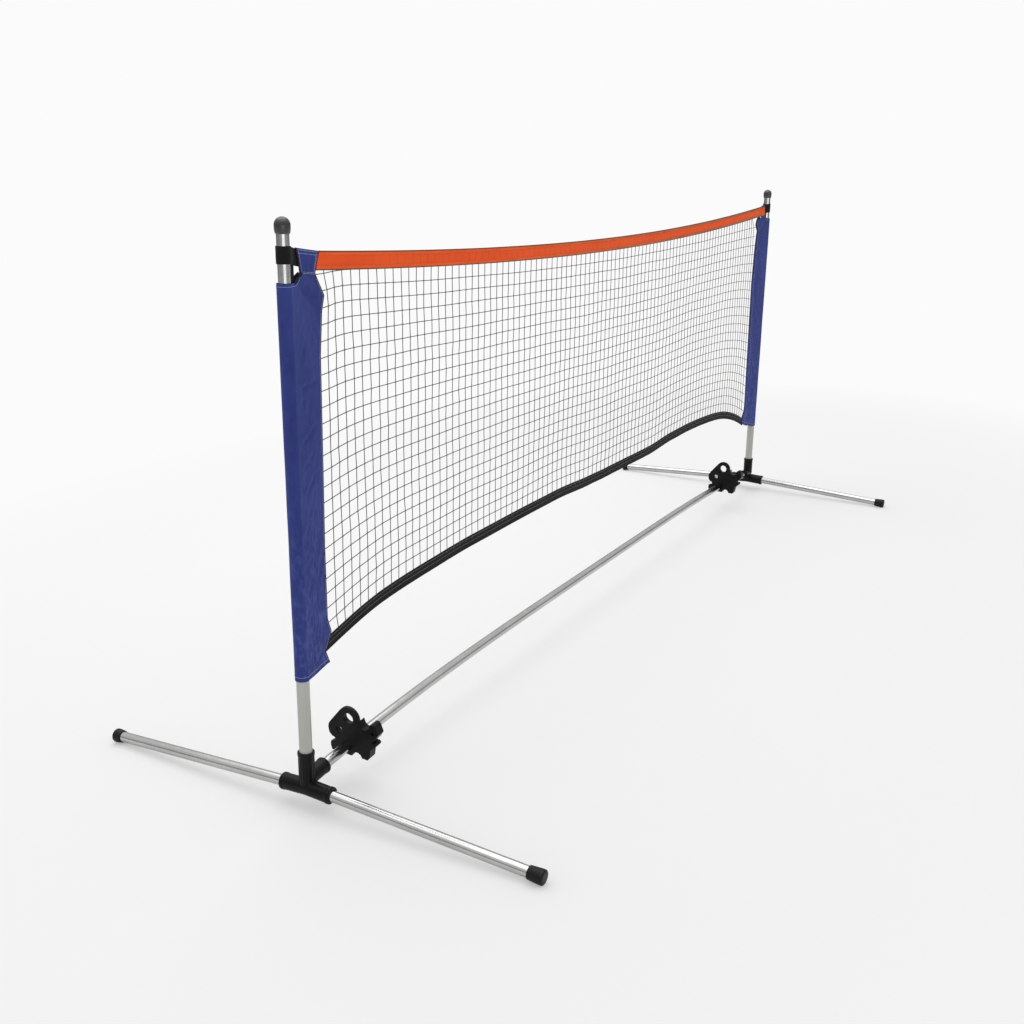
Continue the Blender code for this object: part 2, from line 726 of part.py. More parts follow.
def make_lock_expander(end):
    """A split nylon collet round the spindle, which grips the lower post from inside."""
    x = post_x(end)
    top = UPPER_POST_BOTTOM - COLLET_DROP
    grip = LOWER_POST_RADIUS - TUBE_WALL - GAP
    tip = grip - COLLET_CHAMFER / 2
    drops = [0.0, COLLET_CHAMFER, COLLET_HEIGHT - COLLET_CHAMFER, COLLET_HEIGHT]
    path = [Vector((x, 0.0, top - drop)) for drop in drops]
    body = tube_mesh("collet", path, [tip, grip, grip, tip], [SPINDLE_RADIUS + GAP] * len(drops))
    slit_length = COLLET_HEIGHT * 0.7
    half_slit = COLLET_SLIT / 2
    past = 0.001
    slits = []
    for turn in range(2):
        corners = ((1, -2), (1, 2), (-1, 2), (-1, -2))
        outline = [(u * half_slit, v * grip) for u, v in corners]
        slit = extruded_mesh("slit", outline, slit_length + past)
        spin = Matrix.Rotation(math.radians(90.0 * turn), 4, "Z")
        slit.transform(Matrix.Translation((x, 0.0, top - COLLET_HEIGHT - past)) @ spin)
        slits.append(slit)
    body = combine_all(body, slits, "DIFFERENCE")
    finish_object(f"{end}_lock_expander", body, "white_nylon", post_foot(end))


# Net

def teardrop(radius, flank, sides=10):
    """Half-open loop round the post in (s, y): a round back, then the flank's points and back."""
    first = math.radians(62.0)
    last = 2.0 * math.pi - first
    round_part = []
    for step in range(sides + 1):
        angle = between(step / sides, first, last)
        round_part.append((radius * math.cos(angle), radius * math.sin(angle)))
    lower = list(flank)
    upper = [(s, -y) for s, y in reversed(flank)]
    return round_part + [(s, -y) for s, y in lower] + [(s, -y) for s, y in upper]


def sleeve_fold(end, s, height):
    """The cloth's main folds: long slanted waves that fade out at the post and at both hems."""
    reach = min(max((s - FLANK_START) / FOLD_FADE, 0.0), 1.0)
    share = (height - SLEEVE_BOTTOM[end]) / (SLEEVE_TOP[end] - SLEEVE_BOTTOM[end])
    fade = max(math.sin(math.pi * share), 0.0) ** 0.5 * reach * (1.0 - reach * 0.35)
    return FOLD_DEPTH * fade * math.sin(2.0 * math.pi * (height * FOLDS_UP - s * FOLDS_ACROSS))


def sleeve_point(end, s, y, height):
    return Vector((post_x(end) + inward(end) * s, y + sleeve_fold(end, s, height), height))


def sleeve_heights(end, row, loop):
    """Each row runs straight from the post to the inner edge; the top one steps up to the neck."""
    edge_points = SLEEVE_EDGE[end]
    edge, edge_height = edge_points[row]
    neck_s, neck_height = NECK_LEFT[end]
    share = (edge_height - edge_points[0][1]) / (edge_points[-1][1] - edge_points[0][1])
    post_side = between(share, SLEEVE_BOTTOM[end], SLEEVE_TOP[end])
    heights = []
    for s, y in loop:
        across = min(max((s - FLANK_START) / (edge - FLANK_START), 0.0), 1.0)
        height = between(across, post_side, edge_height)
        if row == len(edge_points) - 1 and s >= neck_s:
            height = between((s - neck_s) / (edge - neck_s), neck_height, edge_height)
        heights.append(height)
    return heights


def make_net_sleeve(end):
    """The cloth sheath round the post, drawn in to a sewn seam that holds the net's edge."""
    outer_rows = []
    inner_rows = []
    for row, (edge, edge_height) in enumerate(SLEEVE_EDGE[end]):
        seam_start = edge - SEAM_WIDTH
        outer_flank = [(FLANK_START, 0.0092), (NECK_LEFT[end][0], 0.0042), (seam_start, 0.0022),
                       (edge, SEAM_HALF_THICKNESS)]
        outer_loop = teardrop(SLEEVE_RADIUS, outer_flank)
        inner_loop = teardrop(SLEEVE_RADIUS - CLOTH, SLEEVE_INSIDE[end])
        heights = sleeve_heights(end, row, outer_loop)
        outer_rows.append([sleeve_point(end, s, y, z) for (s, y), z in zip(outer_loop, heights)])
        inner_rows.append([sleeve_point(end, s, y, z) for (s, y), z in zip(inner_loop, heights)])
    mesh = banded_mesh("sleeve", outer_rows, inner_rows)
    finish_object(f"{end}_net_sleeve", mesh, "blue_cloth", post_foot(end), 60.0)


def make_corner_flap(end):
    """The doubled cloth flap above the neck, which the strap and the top tape are sewn to."""
    x = post_x(end)
    outline = [
        (NECK_LEFT[end][0], NECK_LEFT[end][1] + 2 * GAP),
        (NECK_RIGHT[end][0], NECK_RIGHT[end][1] + 2 * GAP),
        FLAP_TOP_RIGHT[end], FLAP_TOP_LEFT[end],
    ]
    corners = [(x + inward(end) * s, height) for s, height in outline]
    columns = [(corners[0], corners[3]), (corners[1], corners[2])]
    mesh = ribbon_mesh("flap", columns, 2 * SEAM_HALF_THICKNESS)
    finish_object(f"{end}_corner_flap", mesh, "blue_cloth", post_foot(end))


def make_corner_strap(end):
    """The webbing loop round the post, whose tail lies behind the flap."""
    x = post_x(end)
    inner = TUBE_RADIUS + GAP
    front = SEAM_HALF_THICKNESS + GAP
    middle = front + STRAP_WEBBING
    back = middle + STRAP_WEBBING
    slit = 0.0002

    def loop(radius, front_y, back_y, join, tail):
        steps = 10
        first = math.radians(58.0)
        points = []
        for step in range(steps + 1):
            angle = between(step / steps, first, 2.0 * math.pi - first)
            points.append((radius * math.cos(angle), radius * math.sin(angle)))
        return points + [(join, front_y), (tail, front_y), (tail, back_y), (join, back_y)]

    outer_loop = loop(inner + STRAP_WEBBING, front, back, STRAP_JOIN, STRAP_TAIL)
    inner_loop = loop(inner, middle - slit, middle + slit, STRAP_JOIN - 0.008, STRAP_JOIN - 0.004)
    rows = []
    for points in (outer_loop, inner_loop):
        levels = []
        for height in (STRAP_BOTTOM, STRAP_TOP):
            levels.append([Vector((x + inward(end) * s, y, height)) for s, y in points])
        rows.append(levels)
    mesh = banded_mesh("strap", rows[0], rows[1])
    finish_object(f"{end}_corner_strap", mesh, "black_webbing", post_foot(end))


def ribbon_mesh(name, columns, thickness):
    """A flat band in the plane of the net, from columns of (x, low, high)."""
    half = thickness / 2
    points = []
    for (low_x, low), (high_x, high) in columns:
        points += [
            Vector((low_x, -half, low)), Vector((high_x, -half, high)),
            Vector((high_x, half, high)), Vector((low_x, half, low)),
        ]
    faces = stack_faces(0, len(columns), 4)
    faces.append([0, 1, 2, 3])
    faces.append([len(points) - 4 + step for step in range(4)])
    return mesh_from_faces(name, points, faces)


def make_top_tape():
    """The bright top band, which hangs in a shallow curve between the two flaps."""
    half_span = POST_SPACING / 2
    steps = 28
    columns = []
    for step in range(steps + 1):
        share = between(step / steps, -1.0, 1.0)
        end = end_of(share)
        high = top_edge(ENDS[end] * (half_span - FLAP_TOP_RIGHT[end][0]))
        high_x = share * (half_span - flap_edge(end, high) - 2 * GAP)
        low_x = share * (half_span - flap_edge(end, high - TOP_TAPE_HEIGHT) - 2 * GAP)
        columns.append(((low_x, top_edge(high_x) - TOP_TAPE_HEIGHT), (high_x, top_edge(high_x))))
    finish_object("top_tape", ribbon_mesh("tape", columns, TAPE_THICKNESS), "orange_tape")


def make_bottom_tape():
    """The folded bottom band, which rises quickly from each sleeve and runs level between."""
    half_span = POST_SPACING / 2
    steps = 36
    half = BOTTOM_TAPE_HEIGHT / 2
    columns = []
    for step in range(steps + 1):
        share = math.sin(between(step / steps, -1.0, 1.0) * math.pi / 2)
        end = end_of(share)
        centre = bottom_tape_centre(ENDS[end] * (half_span - TAPE_END[end]))
        low_x = share * (half_span - sleeve_edge(end, centre - half) - 4 * GAP)
        high_x = share * (half_span - sleeve_edge(end, centre + half) - 4 * GAP)
        low = (low_x, bottom_tape_centre(low_x) - half)
        high = (high_x, bottom_tape_centre(high_x) + half)
        columns.append((low, high))
    finish_object("bottom_tape", ribbon_mesh("tape", columns, TAPE_THICKNESS), "black_webbing")


def net_edge(end, up):
    """How far the net starts from the post's axis, clear of the sleeve's edge near a row."""
    side_x = ENDS[end] * (POST_SPACING / 2 - NET_SIDE)
    low = bottom_tape_centre(side_x) + BOTTOM_TAPE_HEIGHT / 2
    high = top_edge(side_x) - TOP_TAPE_HEIGHT
    row = (high - low) / NET_ROWS
    levels = [between(up, low, high) + row * step / 4 for step in range(-4, 5)]
    return max(sleeve_edge(end, level) for level in levels) + NET_CLEARANCE


def net_lines(count, width_share):
    """The two sides of each cord, as shares of the net's width or height."""
    lines = []
    for index in range(count + 1):
        centre = between(index / count, width_share / 2, 1.0 - width_share / 2)
        lines += [centre - width_share / 2, centre + width_share / 2]
    return lines


def net_point(across, up, depth):
    half_span = POST_SPACING / 2
    x = between(across, net_edge("near", up) - half_span, half_span - net_edge("far", up))
    low = bottom_tape_centre(x) + BOTTOM_TAPE_HEIGHT / 2 + NET_CLEARANCE
    high = top_edge(x) - TOP_TAPE_HEIGHT - NET_CLEARANCE
    return Vector((x, depth, between(up, low, high)))


def make_net_mesh():
    """The square mesh as one lattice, with fewer and wider gaps than the real cord has."""
    across = net_lines(NET_COLUMNS, NET_CORD / NET_WIDTH)
    up = net_lines(NET_ROWS, NET_CORD / NET_HEIGHT)
    columns = len(across)
    rows = len(up)
    half = NET_THICKNESS / 2
    points = []
    for depth in (-half, half):
        for level in up:
            for share in across:
                points.append(net_point(share, level, depth))
    back = columns * rows

    def corner(column, row):
        return row * columns + column

    def is_gap(column, row):
        inside = 0 <= column < columns - 1 and 0 <= row < rows - 1
        return not inside or (column % 2 == 1 and row % 2 == 1)

    faces = []
    for row in range(rows - 1):
        for column in range(columns - 1):
            if is_gap(column, row):
                continue
            ring = [corner(column, row), corner(column + 1, row),
                    corner(column + 1, row + 1), corner(column, row + 1)]
            faces.append(ring)
            faces.append([point + back for point in reversed(ring)])
            neighbours = [(column, row - 1), (column + 1, row), (column, row + 1), (column - 1, row)]
            for index, (next_column, next_row) in enumerate(neighbours):
                if is_gap(next_column, next_row):
                    first = ring[index]
                    second = ring[(index + 1) % 4]
                    faces.append([second, first, first + back, second + back])
    finish_object("net_mesh", mesh_from_faces("net", points, faces), "net_cord")


def build():
    clear_scene()
    for end in ENDS:
        make_base_tee(end)
        for side in SIDES:
            make_foot(end, side)
            make_foot_cap(end, side)
        make_storage_clip(end)
        make_lower_post(end)
        make_post_bush(end)
        make_upper_post(end)
        make_ball_cap(end)
        make_lock_spindle(end)
        make_lock_expander(end)
        make_net_sleeve(end)
        make_corner_flap(end)
        make_corner_strap(end)
    make_bar()
    make_top_tape()
    make_bottom_tape()
    make_net_mesh()


build()
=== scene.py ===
"""Looks of the multisport net: finishes, cloth, mesh, stitching, studio and camera.

The net runs along X with its near end at -X, the feet run along Y and +Z is up, in metres.
At each end "s" is the distance from the post's axis towards the middle of the net.
"""
import math

import bmesh
import bpy
from mathutils import Matrix, Vector, noise


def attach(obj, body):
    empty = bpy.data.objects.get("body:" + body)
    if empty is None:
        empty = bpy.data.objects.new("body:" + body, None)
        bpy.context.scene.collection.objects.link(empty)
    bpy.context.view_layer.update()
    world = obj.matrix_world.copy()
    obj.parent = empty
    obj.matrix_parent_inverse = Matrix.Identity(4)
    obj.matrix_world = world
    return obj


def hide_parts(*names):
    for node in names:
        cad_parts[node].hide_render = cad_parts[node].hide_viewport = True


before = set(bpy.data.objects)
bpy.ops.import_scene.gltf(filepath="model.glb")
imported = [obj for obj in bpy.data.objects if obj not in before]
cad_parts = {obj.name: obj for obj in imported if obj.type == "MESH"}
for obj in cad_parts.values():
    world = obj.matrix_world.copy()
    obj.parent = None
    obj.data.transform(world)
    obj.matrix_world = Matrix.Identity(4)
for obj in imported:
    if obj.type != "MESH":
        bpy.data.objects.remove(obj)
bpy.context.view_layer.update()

# Frame sizes, as in the model
POST_SPACING = 3.0
HALF_SPAN = POST_SPACING / 2
TUBE_RADIUS = 0.0125
LOWER_POST_RADIUS = 0.014
TUBE_WALL = 0.0012
TUBE_CHAMFER = 0.0004
GAP = 0.0003
FOOT_HALF = 0.5825
FOOT_END_HEIGHT = 0.0155
FOOT_RISE = 0.030
FOOT_SLOPE = FOOT_RISE / FOOT_HALF
TEE_HEIGHT = FOOT_END_HEIGHT + FOOT_RISE
SOCKET_RADIUS = 0.0184
STUB_RADIUS = 0.0181
STUB_ROOT = 0.004
STUB_REACH = 0.060
SOCKET_LIP = 0.0009
SOCKET_LIP_LENGTH = 0.008
SOCKET_OVERLAP = 0.004
SLEEVE_HALF = 0.066
POST_SOCKET_ROOT = 0.0164
POST_SOCKET_MOUTH = 0.0178
POST_SOCKET_TOP = 0.1315
SOCKET_FLOOR = 0.012
CAP_RADIUS = 0.0164
CAP_CORNER = 0.0045
# The cap's length as the photo shows it: the rear one is pushed on less far
CAP_LENGTH = {"front": 0.036, "back": 0.024}
BAR_MIDDLE_HEIGHT = 0.106
BAR_CAMBER = 0.0355
BAR_CAMBER_POWER = 4
BAR_MOUTH_X = HALF_SPAN - STUB_REACH
BAR_JOINT_X = 0.520
LOWER_POST_TOP = 0.660
UPPER_POST_BOTTOM = 0.2315
UPPER_POST_TOP = 1.2365
BALL_TOP = 1.2465
BALL_RADIUS = 0.0158
BALL_HEIGHT = 0.032
POST_BOTTOM = TEE_HEIGHT + SOCKET_RADIUS

# Net band, as in the model
TOP_EDGE_MIDDLE = 1.1325
TOP_EDGE_RISE = {"near": 0.0225, "far": 0.0240}
TOP_TAPE_HEIGHT = 0.036
BOTTOM_TAPE_MIDDLE = 0.4115
BOTTOM_TAPE_DROP = {"near": 0.054, "far": 0.100}
BOTTOM_TAPE_POWER = 6
BOTTOM_TAPE_REACH = 1.38
BOTTOM_TAPE_HEIGHT = 0.030
STRAP_BOTTOM = 1.159
STRAP_TOP = 1.1925
STRAP_FALL = 0.19
WEBBING = 0.0020
CLOTH_RADIUS = 0.0151
CLOTH = 0.0009
SEAM_HALF = 0.0013
SLEEVE_BOTTOM = {"near": 0.300, "far": 0.277}
SLEEVE_TOP = {"near": 1.123, "far": 1.135}
NECK_LEFT = {"near": (0.046, 1.1385), "far": (0.036, 1.1450)}
NECK_RIGHT = {"near": (0.091, 1.1345), "far": (0.062, 1.1405)}
FLAP_TOP_LEFT = {"near": (0.036, 1.187), "far": (0.036, 1.188)}
FLAP_TOP_RIGHT = {"near": (0.105, 1.177), "far": (0.068, 1.182)}
# The sleeve's inner edge from the bottom tip up to the neck: distance s, height
SLEEVE_EDGE = {
    "near": [(0.092, 0.305), (0.079, 0.335), (0.101, 0.374), (0.0895, 0.407), (0.0895, 0.573),
             (0.093, 0.706), (0.096, 0.839), (0.099, 0.972), (0.108, 1.059), (0.117, 1.090),
             NECK_RIGHT["near"]],
    "far": [(0.1255, 0.305), (0.1375, 0.332), (0.1145, 0.356), (0.109, 0.374), (0.109, 0.424),
            (0.1125, 0.480), (0.121, 0.700), (0.128, 0.880), (0.119, 1.010), (0.1085, 1.075),
            (0.103, 1.089), (0.1275, 1.114), (0.117, 1.133), NECK_RIGHT["far"]],
}

# Fine detail that only shows here
MESH_PITCH = 0.030
CORD_RADIUS = 0.00105
KNOT_RADIUS = 0.0022
THREAD_RADIUS = 0.00045
# The share of its radius that a thread's middle stands above the cloth
THREAD_STAND = 0.6
STITCH_LENGTH = 0.0032
STITCH_GAP = 0.0010
HEM = 0.005
TAPE_HEM = 0.008
TAPE_HALF = 0.0012
HEM_RISE = 0.0003
SLEEVE_HEM = {"bottom": 0.010, "top": 0.006}
# Slow waves of the bottom tape over its plain curve: place along the net, rise
BOTTOM_WAVES = [(-1.38, 0.0), (-1.2, 0.004), (-1.0, 0.002), (-0.8, 0.004), (-0.35, 0.0065),
                (-0.1, -0.002), (0.0, -0.004), (0.36, -0.0065), (0.58, 0.003), (0.75, 0.006),
                (1.09, 0.0065), (1.37, 0.0)]

ENDS = {"near": -1.0, "far": 1.0}
SIDES = {"front": -1.0, "back": 1.0}
# The cloth of both ends rides the near height joint with the rest of the net
NET_BODY = "near_lift"
Y_AXIS = Vector((0.0, 1.0, 0.0))
Z_AXIS = Vector((0.0, 0.0, 1.0))


# Materials

def grey(level):
    return level, level, level


class NodeTree:
    """The nodes of a material or a world, made and linked by short calls."""

    def __init__(self, owner):
        owner.use_nodes = True
        self.nodes = owner.node_tree.nodes
        self.links = owner.node_tree.links

    def add(self, kind, inputs, **settings):
        """A new node; each of its inputs gets a value or a link."""
        node = self.nodes.new(f"ShaderNode{kind}")
        for name, value in settings.items():
            setattr(node, name, value)
        for name, value in inputs.items():
            self.feed(node.inputs[name], value)
        return node

    def feed(self, socket, value):
        if isinstance(value, bpy.types.NodeSocket):
            self.links.new(value, socket)
        elif socket.type == "RGBA":
            socket.default_value = (*value, 1.0)
        else:
            socket.default_value = value

    def math(self, operation, first, second):
        return self.add("Math", {0: first, 1: second}, operation=operation).outputs[0]

    def spread(self, factor, low, high, from_low=0.3, from_high=0.7):
        """Map a factor from its own range on to a new one."""
        inputs = {"Value": factor, "From Min": from_low, "From Max": from_high, "To Min": low, "To Max": high}
        return self.add("MapRange", inputs).outputs["Result"]

    def blend(self, factor, first, second):
        return self.add("Mix", {"Factor": factor, 6: first, 7: second}, data_type="RGBA").outputs[2]

    def mottle(self, factor, first, second, most=1.0, from_low=0.3, from_high=0.7):
        """The first colour with up to a share of the second, as the factor goes through its range."""
        return self.blend(self.spread(factor, 0.0, most, from_low, from_high), first, second)

    def ramp(self, factor, levels):
        """A ramp of greys from (position, brightness) pairs, with positions from -1 to 1."""
        node = self.add("ValToRGB", {"Fac": self.spread(factor, 0.0, 1.0, -1.0, 1.0)})
        elements = node.color_ramp.elements
        for index, (position, level) in enumerate(levels):
            element = elements[index] if index < 2 else elements.new(1.0)
            element.position = (position + 1.0) / 2.0
            element.color = (*grey(level), 1.0)
        return node.outputs["Color"]


class Surface(NodeTree):
    """A material with its shader and the coordinates of the object that wears it."""

    def __init__(self, name, roughness, metallic=0.0, **shader_values):
        self.material = bpy.data.materials.new(name)
        super().__init__(self.material)
        self.shader = self.nodes["Principled BSDF"]
        self.set("Roughness", roughness)
        self.set("Metallic", metallic)
        for socket, value in shader_values.items():
            self.set(socket.replace("_", " "), value)
        self.place = self.add("TexCoord", {}).outputs["Object"]
        split = self.add("SeparateXYZ", {"Vector": self.place})
        self.along = split.outputs["X"]
        self.height = split.outputs["Z"]

    def set(self, socket, value):
        self.feed(self.shader.inputs[socket], value)

    def stretched(self, scale):
        """The object's own coordinates, scaled apart along X, Y and Z."""
        return self.add("Mapping", {"Vector": self.place, "Scale": scale}).outputs["Vector"]

    def noise(self, scale, stretch=(1.0, 1.0, 1.0), detail=3.0, roughness=0.55):
        inputs = {"Vector": self.stretched(stretch), "Scale": scale, "Detail": detail, "Roughness": roughness}
        return self.add("TexNoise", inputs).outputs["Fac"]

    def wave(self, pitch, axis, distortion=0.0):
        """Bands of this pitch, crossed by one axis."""
        inputs = {"Vector": self.place, "Scale": 2.0 * math.pi / (20.0 * pitch), "Distortion": distortion}
        return self.add("TexWave", inputs, wave_type="BANDS", bands_direction=axis).outputs["Fac"]

    def woven(self, pitch):
        """A plain weave: threads along Z crossed by threads along X."""
        across = self.wave(pitch, "X", 0.6)
        along = self.wave(pitch, "Z", 0.6)
        return self.math("MULTIPLY", self.math("ADD", across, along), 0.5)

    def bump(self, height, strength, distance):
        inputs = {"Strength": strength, "Distance": distance, "Height": height}
        self.set("Normal", self.add("Bump", inputs).outputs["Normal"])

    def wrinkle(self, threads, share, crumple, strength, distance):
        """Bump of a crumpled cloth with a share of its threads."""
        relief = self.math("ADD", self.math("MULTIPLY", threads, share), crumple)
        self.bump(relief, strength, distance)


def polished_metal():
    """Bright drawn tube: fine lengthwise scratches and faint clouding."""
    surface = Surface("polished_tube_finish", 0.16, 1.0)
    cloud = surface.noise(14.0, detail=4.0)
    surface.set("Base Color", surface.mottle(cloud, (0.47, 0.47, 0.46), (0.54, 0.54, 0.53)))
    scratch = surface.noise(900.0, (0.05, 0.05, 0.05), detail=6.0)
    surface.set("Roughness", surface.spread(scratch, 0.12, 0.24))
    surface.bump(scratch, 0.06, 0.0002)
    return surface.material


def satin_metal():
    """Matte tube with faint lines along its length."""
    surface = Surface("satin_tube_finish", 0.42, 0.35)
    lines = surface.noise(420.0, (1.0, 1.0, 0.004), detail=2.0)
    tone = surface.mottle(lines, (0.39, 0.39, 0.36), (0.50, 0.50, 0.465))
    surface.set("Base Color", surface.mottle(surface.noise(9.0), tone, (0.34, 0.34, 0.32), 0.25))
    surface.set("Roughness", surface.spread(lines, 0.36, 0.48))
    surface.bump(lines, 0.08, 0.0003)
    return surface.material


def moulded_plastic(name, dark, light, roughness, grain, shine):
    """Moulded plastic or rubber with a fine grain and worn, paler patches."""
    surface = Surface(name, roughness, Specular_IOR_Level=shine)
    surface.set("Base Color", surface.mottle(surface.noise(26.0, detail=5.0), dark, light))
    texture = surface.noise(grain, detail=4.0)
    surface.set("Roughness", surface.spread(texture, roughness - 0.07, roughness + 0.10))
    surface.bump(texture, 0.22, 0.0004)
    return surface.material


def blue_cloth():
    """Plain-woven cloth with a painted highlight on its thread crests, and paler spots low down painted as
    highlights on the crumpled cloth.
    """
    surface = Surface("blue_cloth_finish", 0.78, Sheen_Weight=0.10, Sheen_Roughness=0.45,
                      Specular_IOR_Level=0.25, Sheen_Tint=(0.45, 0.52, 0.90))
    threads = surface.woven(0.0011)
    cloud = surface.noise(11.0, (1.6, 1.6, 0.7), detail=5.0)
    tone = surface.mottle(cloud, (0.017, 0.028, 0.165), (0.030, 0.047, 0.225))
    # Paler thread crests of the weave: a painted highlight
    tone = surface.mottle(threads, tone, (0.050, 0.075, 0.30), 0.16, 0.1, 0.9)
    # Paler spots, most of them low down where the cloth is crumpled: painted highlights on the crumples
    low_down = surface.spread(surface.height, 0.9, 0.15, 0.38, 0.75)
    spots = surface.spread(surface.noise(60.0, (1.5, 1.5, 0.8), detail=6.0), 0.0, 1.0, 0.48, 0.66)
    painted_crumple_highlights = surface.math("MULTIPLY", spots, low_down)
    surface.set("Base Color", surface.blend(painted_crumple_highlights, tone, (0.060, 0.082, 0.29)))
    crumple = surface.noise(95.0, (1.0, 1.0, 0.6), detail=6.0, roughness=0.6)
    surface.set("Roughness", surface.spread(crumple, 0.72, 0.86))
    surface.wrinkle(threads, 0.25, crumple, 0.42, 0.0014)
    return surface.material


def orange_cloth():
    """Orange binding tape; the mesh prints through it away from the near end."""
    surface = Surface("orange_tape_finish", 0.62, Specular_IOR_Level=0.2)
    threads = surface.woven(0.0010)
    cloud = surface.noise(9.0, (0.5, 1.0, 2.0), detail=4.0)
    tone = surface.mottle(cloud, (0.80, 0.066, 0.004), (0.90, 0.100, 0.009))
    cords = surface.spread(surface.wave(MESH_PITCH, "X"), 0.0, 0.22, 0.88, 1.0)
    away = surface.spread(surface.along, 0.0, 1.0, -1.28, -1.12)
    printed = surface.blend(surface.math("MULTIPLY", cords, away), tone, (0.36, 0.045, 0.008))
    # Paler thread crests of the weave: a painted highlight
    surface.set("Base Color", surface.mottle(threads, printed, (0.95, 0.19, 0.03), 0.12, 0.1, 0.9))
    crumple = surface.noise(70.0, (0.6, 1.0, 1.0), detail=5.0)
    surface.wrinkle(threads, 0.3, crumple, 0.25, 0.0010)
    return surface.material


def hem_cloth():
    """The tape's turned-in hems, browner towards the far end."""
    surface = Surface("tape_hem_finish", 0.66, Specular_IOR_Level=0.2)
    threads = surface.woven(0.0010)
    cloud = surface.noise(16.0, (0.7, 1.0, 2.0), detail=4.0)
    near_tone = surface.mottle(cloud, (0.76, 0.080, 0.010), (0.86, 0.120, 0.020))
    far_tone = surface.mottle(cloud, (0.30, 0.085, 0.028), (0.46, 0.150, 0.060))
    tone = surface.mottle(surface.along, near_tone, far_tone, 1.0, -0.9, 0.9)
    # Paler thread crests of the weave: a painted highlight
    surface.set("Base Color", surface.mottle(threads, tone, (0.85, 0.27, 0.09), 0.2, 0.1, 0.9))
    surface.bump(threads, 0.3, 0.0008)
    return surface.material


def black_webbing():
    """Ribbed webbing, paler on its ribs: a painted highlight."""
    surface = Surface("black_webbing_finish", 0.82, Sheen_Weight=0.03, Specular_IOR_Level=0.2)
    ribs = surface.math("ADD", surface.wave(0.0016, "Z", 0.4), surface.wave(0.0011, "X", 0.4))
    threads = surface.math("MULTIPLY", ribs, 0.5)
    cloud = surface.noise(20.0, detail=4.0)
    tone = surface.mottle(cloud, (0.0025, 0.0025, 0.0028), (0.0062, 0.0062, 0.0066))
    # Paler rib crests: a painted highlight
    surface.set("Base Color", surface.mottle(threads, tone, (0.014, 0.014, 0.014), 0.4, 0.2, 0.9))
    surface.bump(threads, 0.5, 0.0006)
    return surface.material


def twisted_cord(name, dark, light):
    """Twisted fibre: fine light and dark strands."""
    surface = Surface(name, 0.78, Specular_IOR_Level=0.2)
    strands = surface.noise(900.0, detail=2.0)
    tone = surface.mottle(strands, dark, light)
    surface.set("Base Color", surface.mottle(surface.noise(7.0), tone, dark, 0.3))
    surface.bump(strands, 0.4, 0.0005)
    return surface.material


WOVEN_AND_METAL = {
    "polished_tube": polished_metal, "satin_tube": satin_metal, "blue_cloth": blue_cloth,
    "orange_tape": orange_cloth, "tape_hem": hem_cloth, "black_webbing": black_webbing,
}
# Dark and light tone, roughness, grain, shine
MOULDED = {
    "black_plastic": ((0.0030, 0.0030, 0.0027), (0.0060, 0.0060, 0.0055), 0.32, 1100.0, 0.14),
    "black_rubber": ((0.005, 0.005, 0.0045), (0.011, 0.011, 0.010), 0.42, 800.0, 0.18),
    "dark_rubber": ((0.013, 0.014, 0.013), (0.024, 0.025, 0.023), 0.28, 800.0, 0.75),
    "white_nylon": ((0.56, 0.56, 0.53), (0.66, 0.66, 0.63), 0.45, 700.0, 0.4),
}
# Dark and light strands
TWISTED = {
    "net_cord": ((0.10, 0.105, 0.092), (0.24, 0.25, 0.22)),
    "pale_thread": ((0.30, 0.32, 0.50), (0.50, 0.52, 0.68)),
    "grey_thread": ((0.16, 0.16, 0.15), (0.30, 0.30, 0.28)),
    "brown_binding": ((0.022, 0.012, 0.020), (0.060, 0.034, 0.046)),
    "rust_binding": ((0.11, 0.026, 0.008), (0.22, 0.050, 0.014)),
    "black_binding": ((0.008, 0.009, 0.014), (0.020, 0.021, 0.030)),
}
FINISHES = {}


def make_finishes():
    for finish, make in WOVEN_AND_METAL.items():
        FINISHES[finish] = make()
    for finish, values in MOULDED.items():
        FINISHES[finish] = moulded_plastic(f"{finish}_finish", *values)
    for finish, tones in TWISTED.items():
        FINISHES[finish] = twisted_cord(f"{finish}_finish", *tones)


# Numbers and places

def between(value, low, high):
    return low + (high - low) * value


def between_pairs(value, low, high):
    return [between(value, *pair) for pair in zip(low, high)]


def clamp(value, low=0.0, high=1.0):
    return min(max(value, low), high)


def smooth_step(value):
    value = clamp(value)
    return value * value * (3.0 - 2.0 * value)


def steps_between(low, high, steps):
    return [between(step / steps, low, high) for step in range(steps + 1)]


def read_line(points, value, axis, ease=False):
    """The other coordinate of a polyline of (a, b) pairs, at a value of coordinate axis."""
    other = 1 - axis
    if value <= points[0][axis]:
        return points[0][other]
    for low, high in zip(points, points[1:]):
        if value <= high[axis]:
            share = (value - low[axis]) / (high[axis] - low[axis])
            return between(smooth_step(share) if ease else share, low[other], high[other])
    return points[-1][other]


def post_x(end):
    return ENDS[end] * HALF_SPAN


def at_end(end, s, y, height):
    """The point at a distance s from an end's post towards the middle."""
    return Vector((post_x(end) - ENDS[end] * s, y, height))


def end_of(x):
    return "near" if x < 0.0 else "far"


# Meshes and pieces

def link_object(name, data):
    item = bpy.data.objects.new(name, data)
    bpy.context.scene.collection.objects.link(item)
    return item


def edit_mesh(mesh, change):
    """Run a change on a mesh's editable form."""
    shape = bmesh.new()
    shape.from_mesh(mesh)
    change(shape)
    shape.to_mesh(mesh)
    shape.free()
    return mesh


def turn_faces_out(shape):
    bmesh.ops.recalc_face_normals(shape, faces=shape.faces)


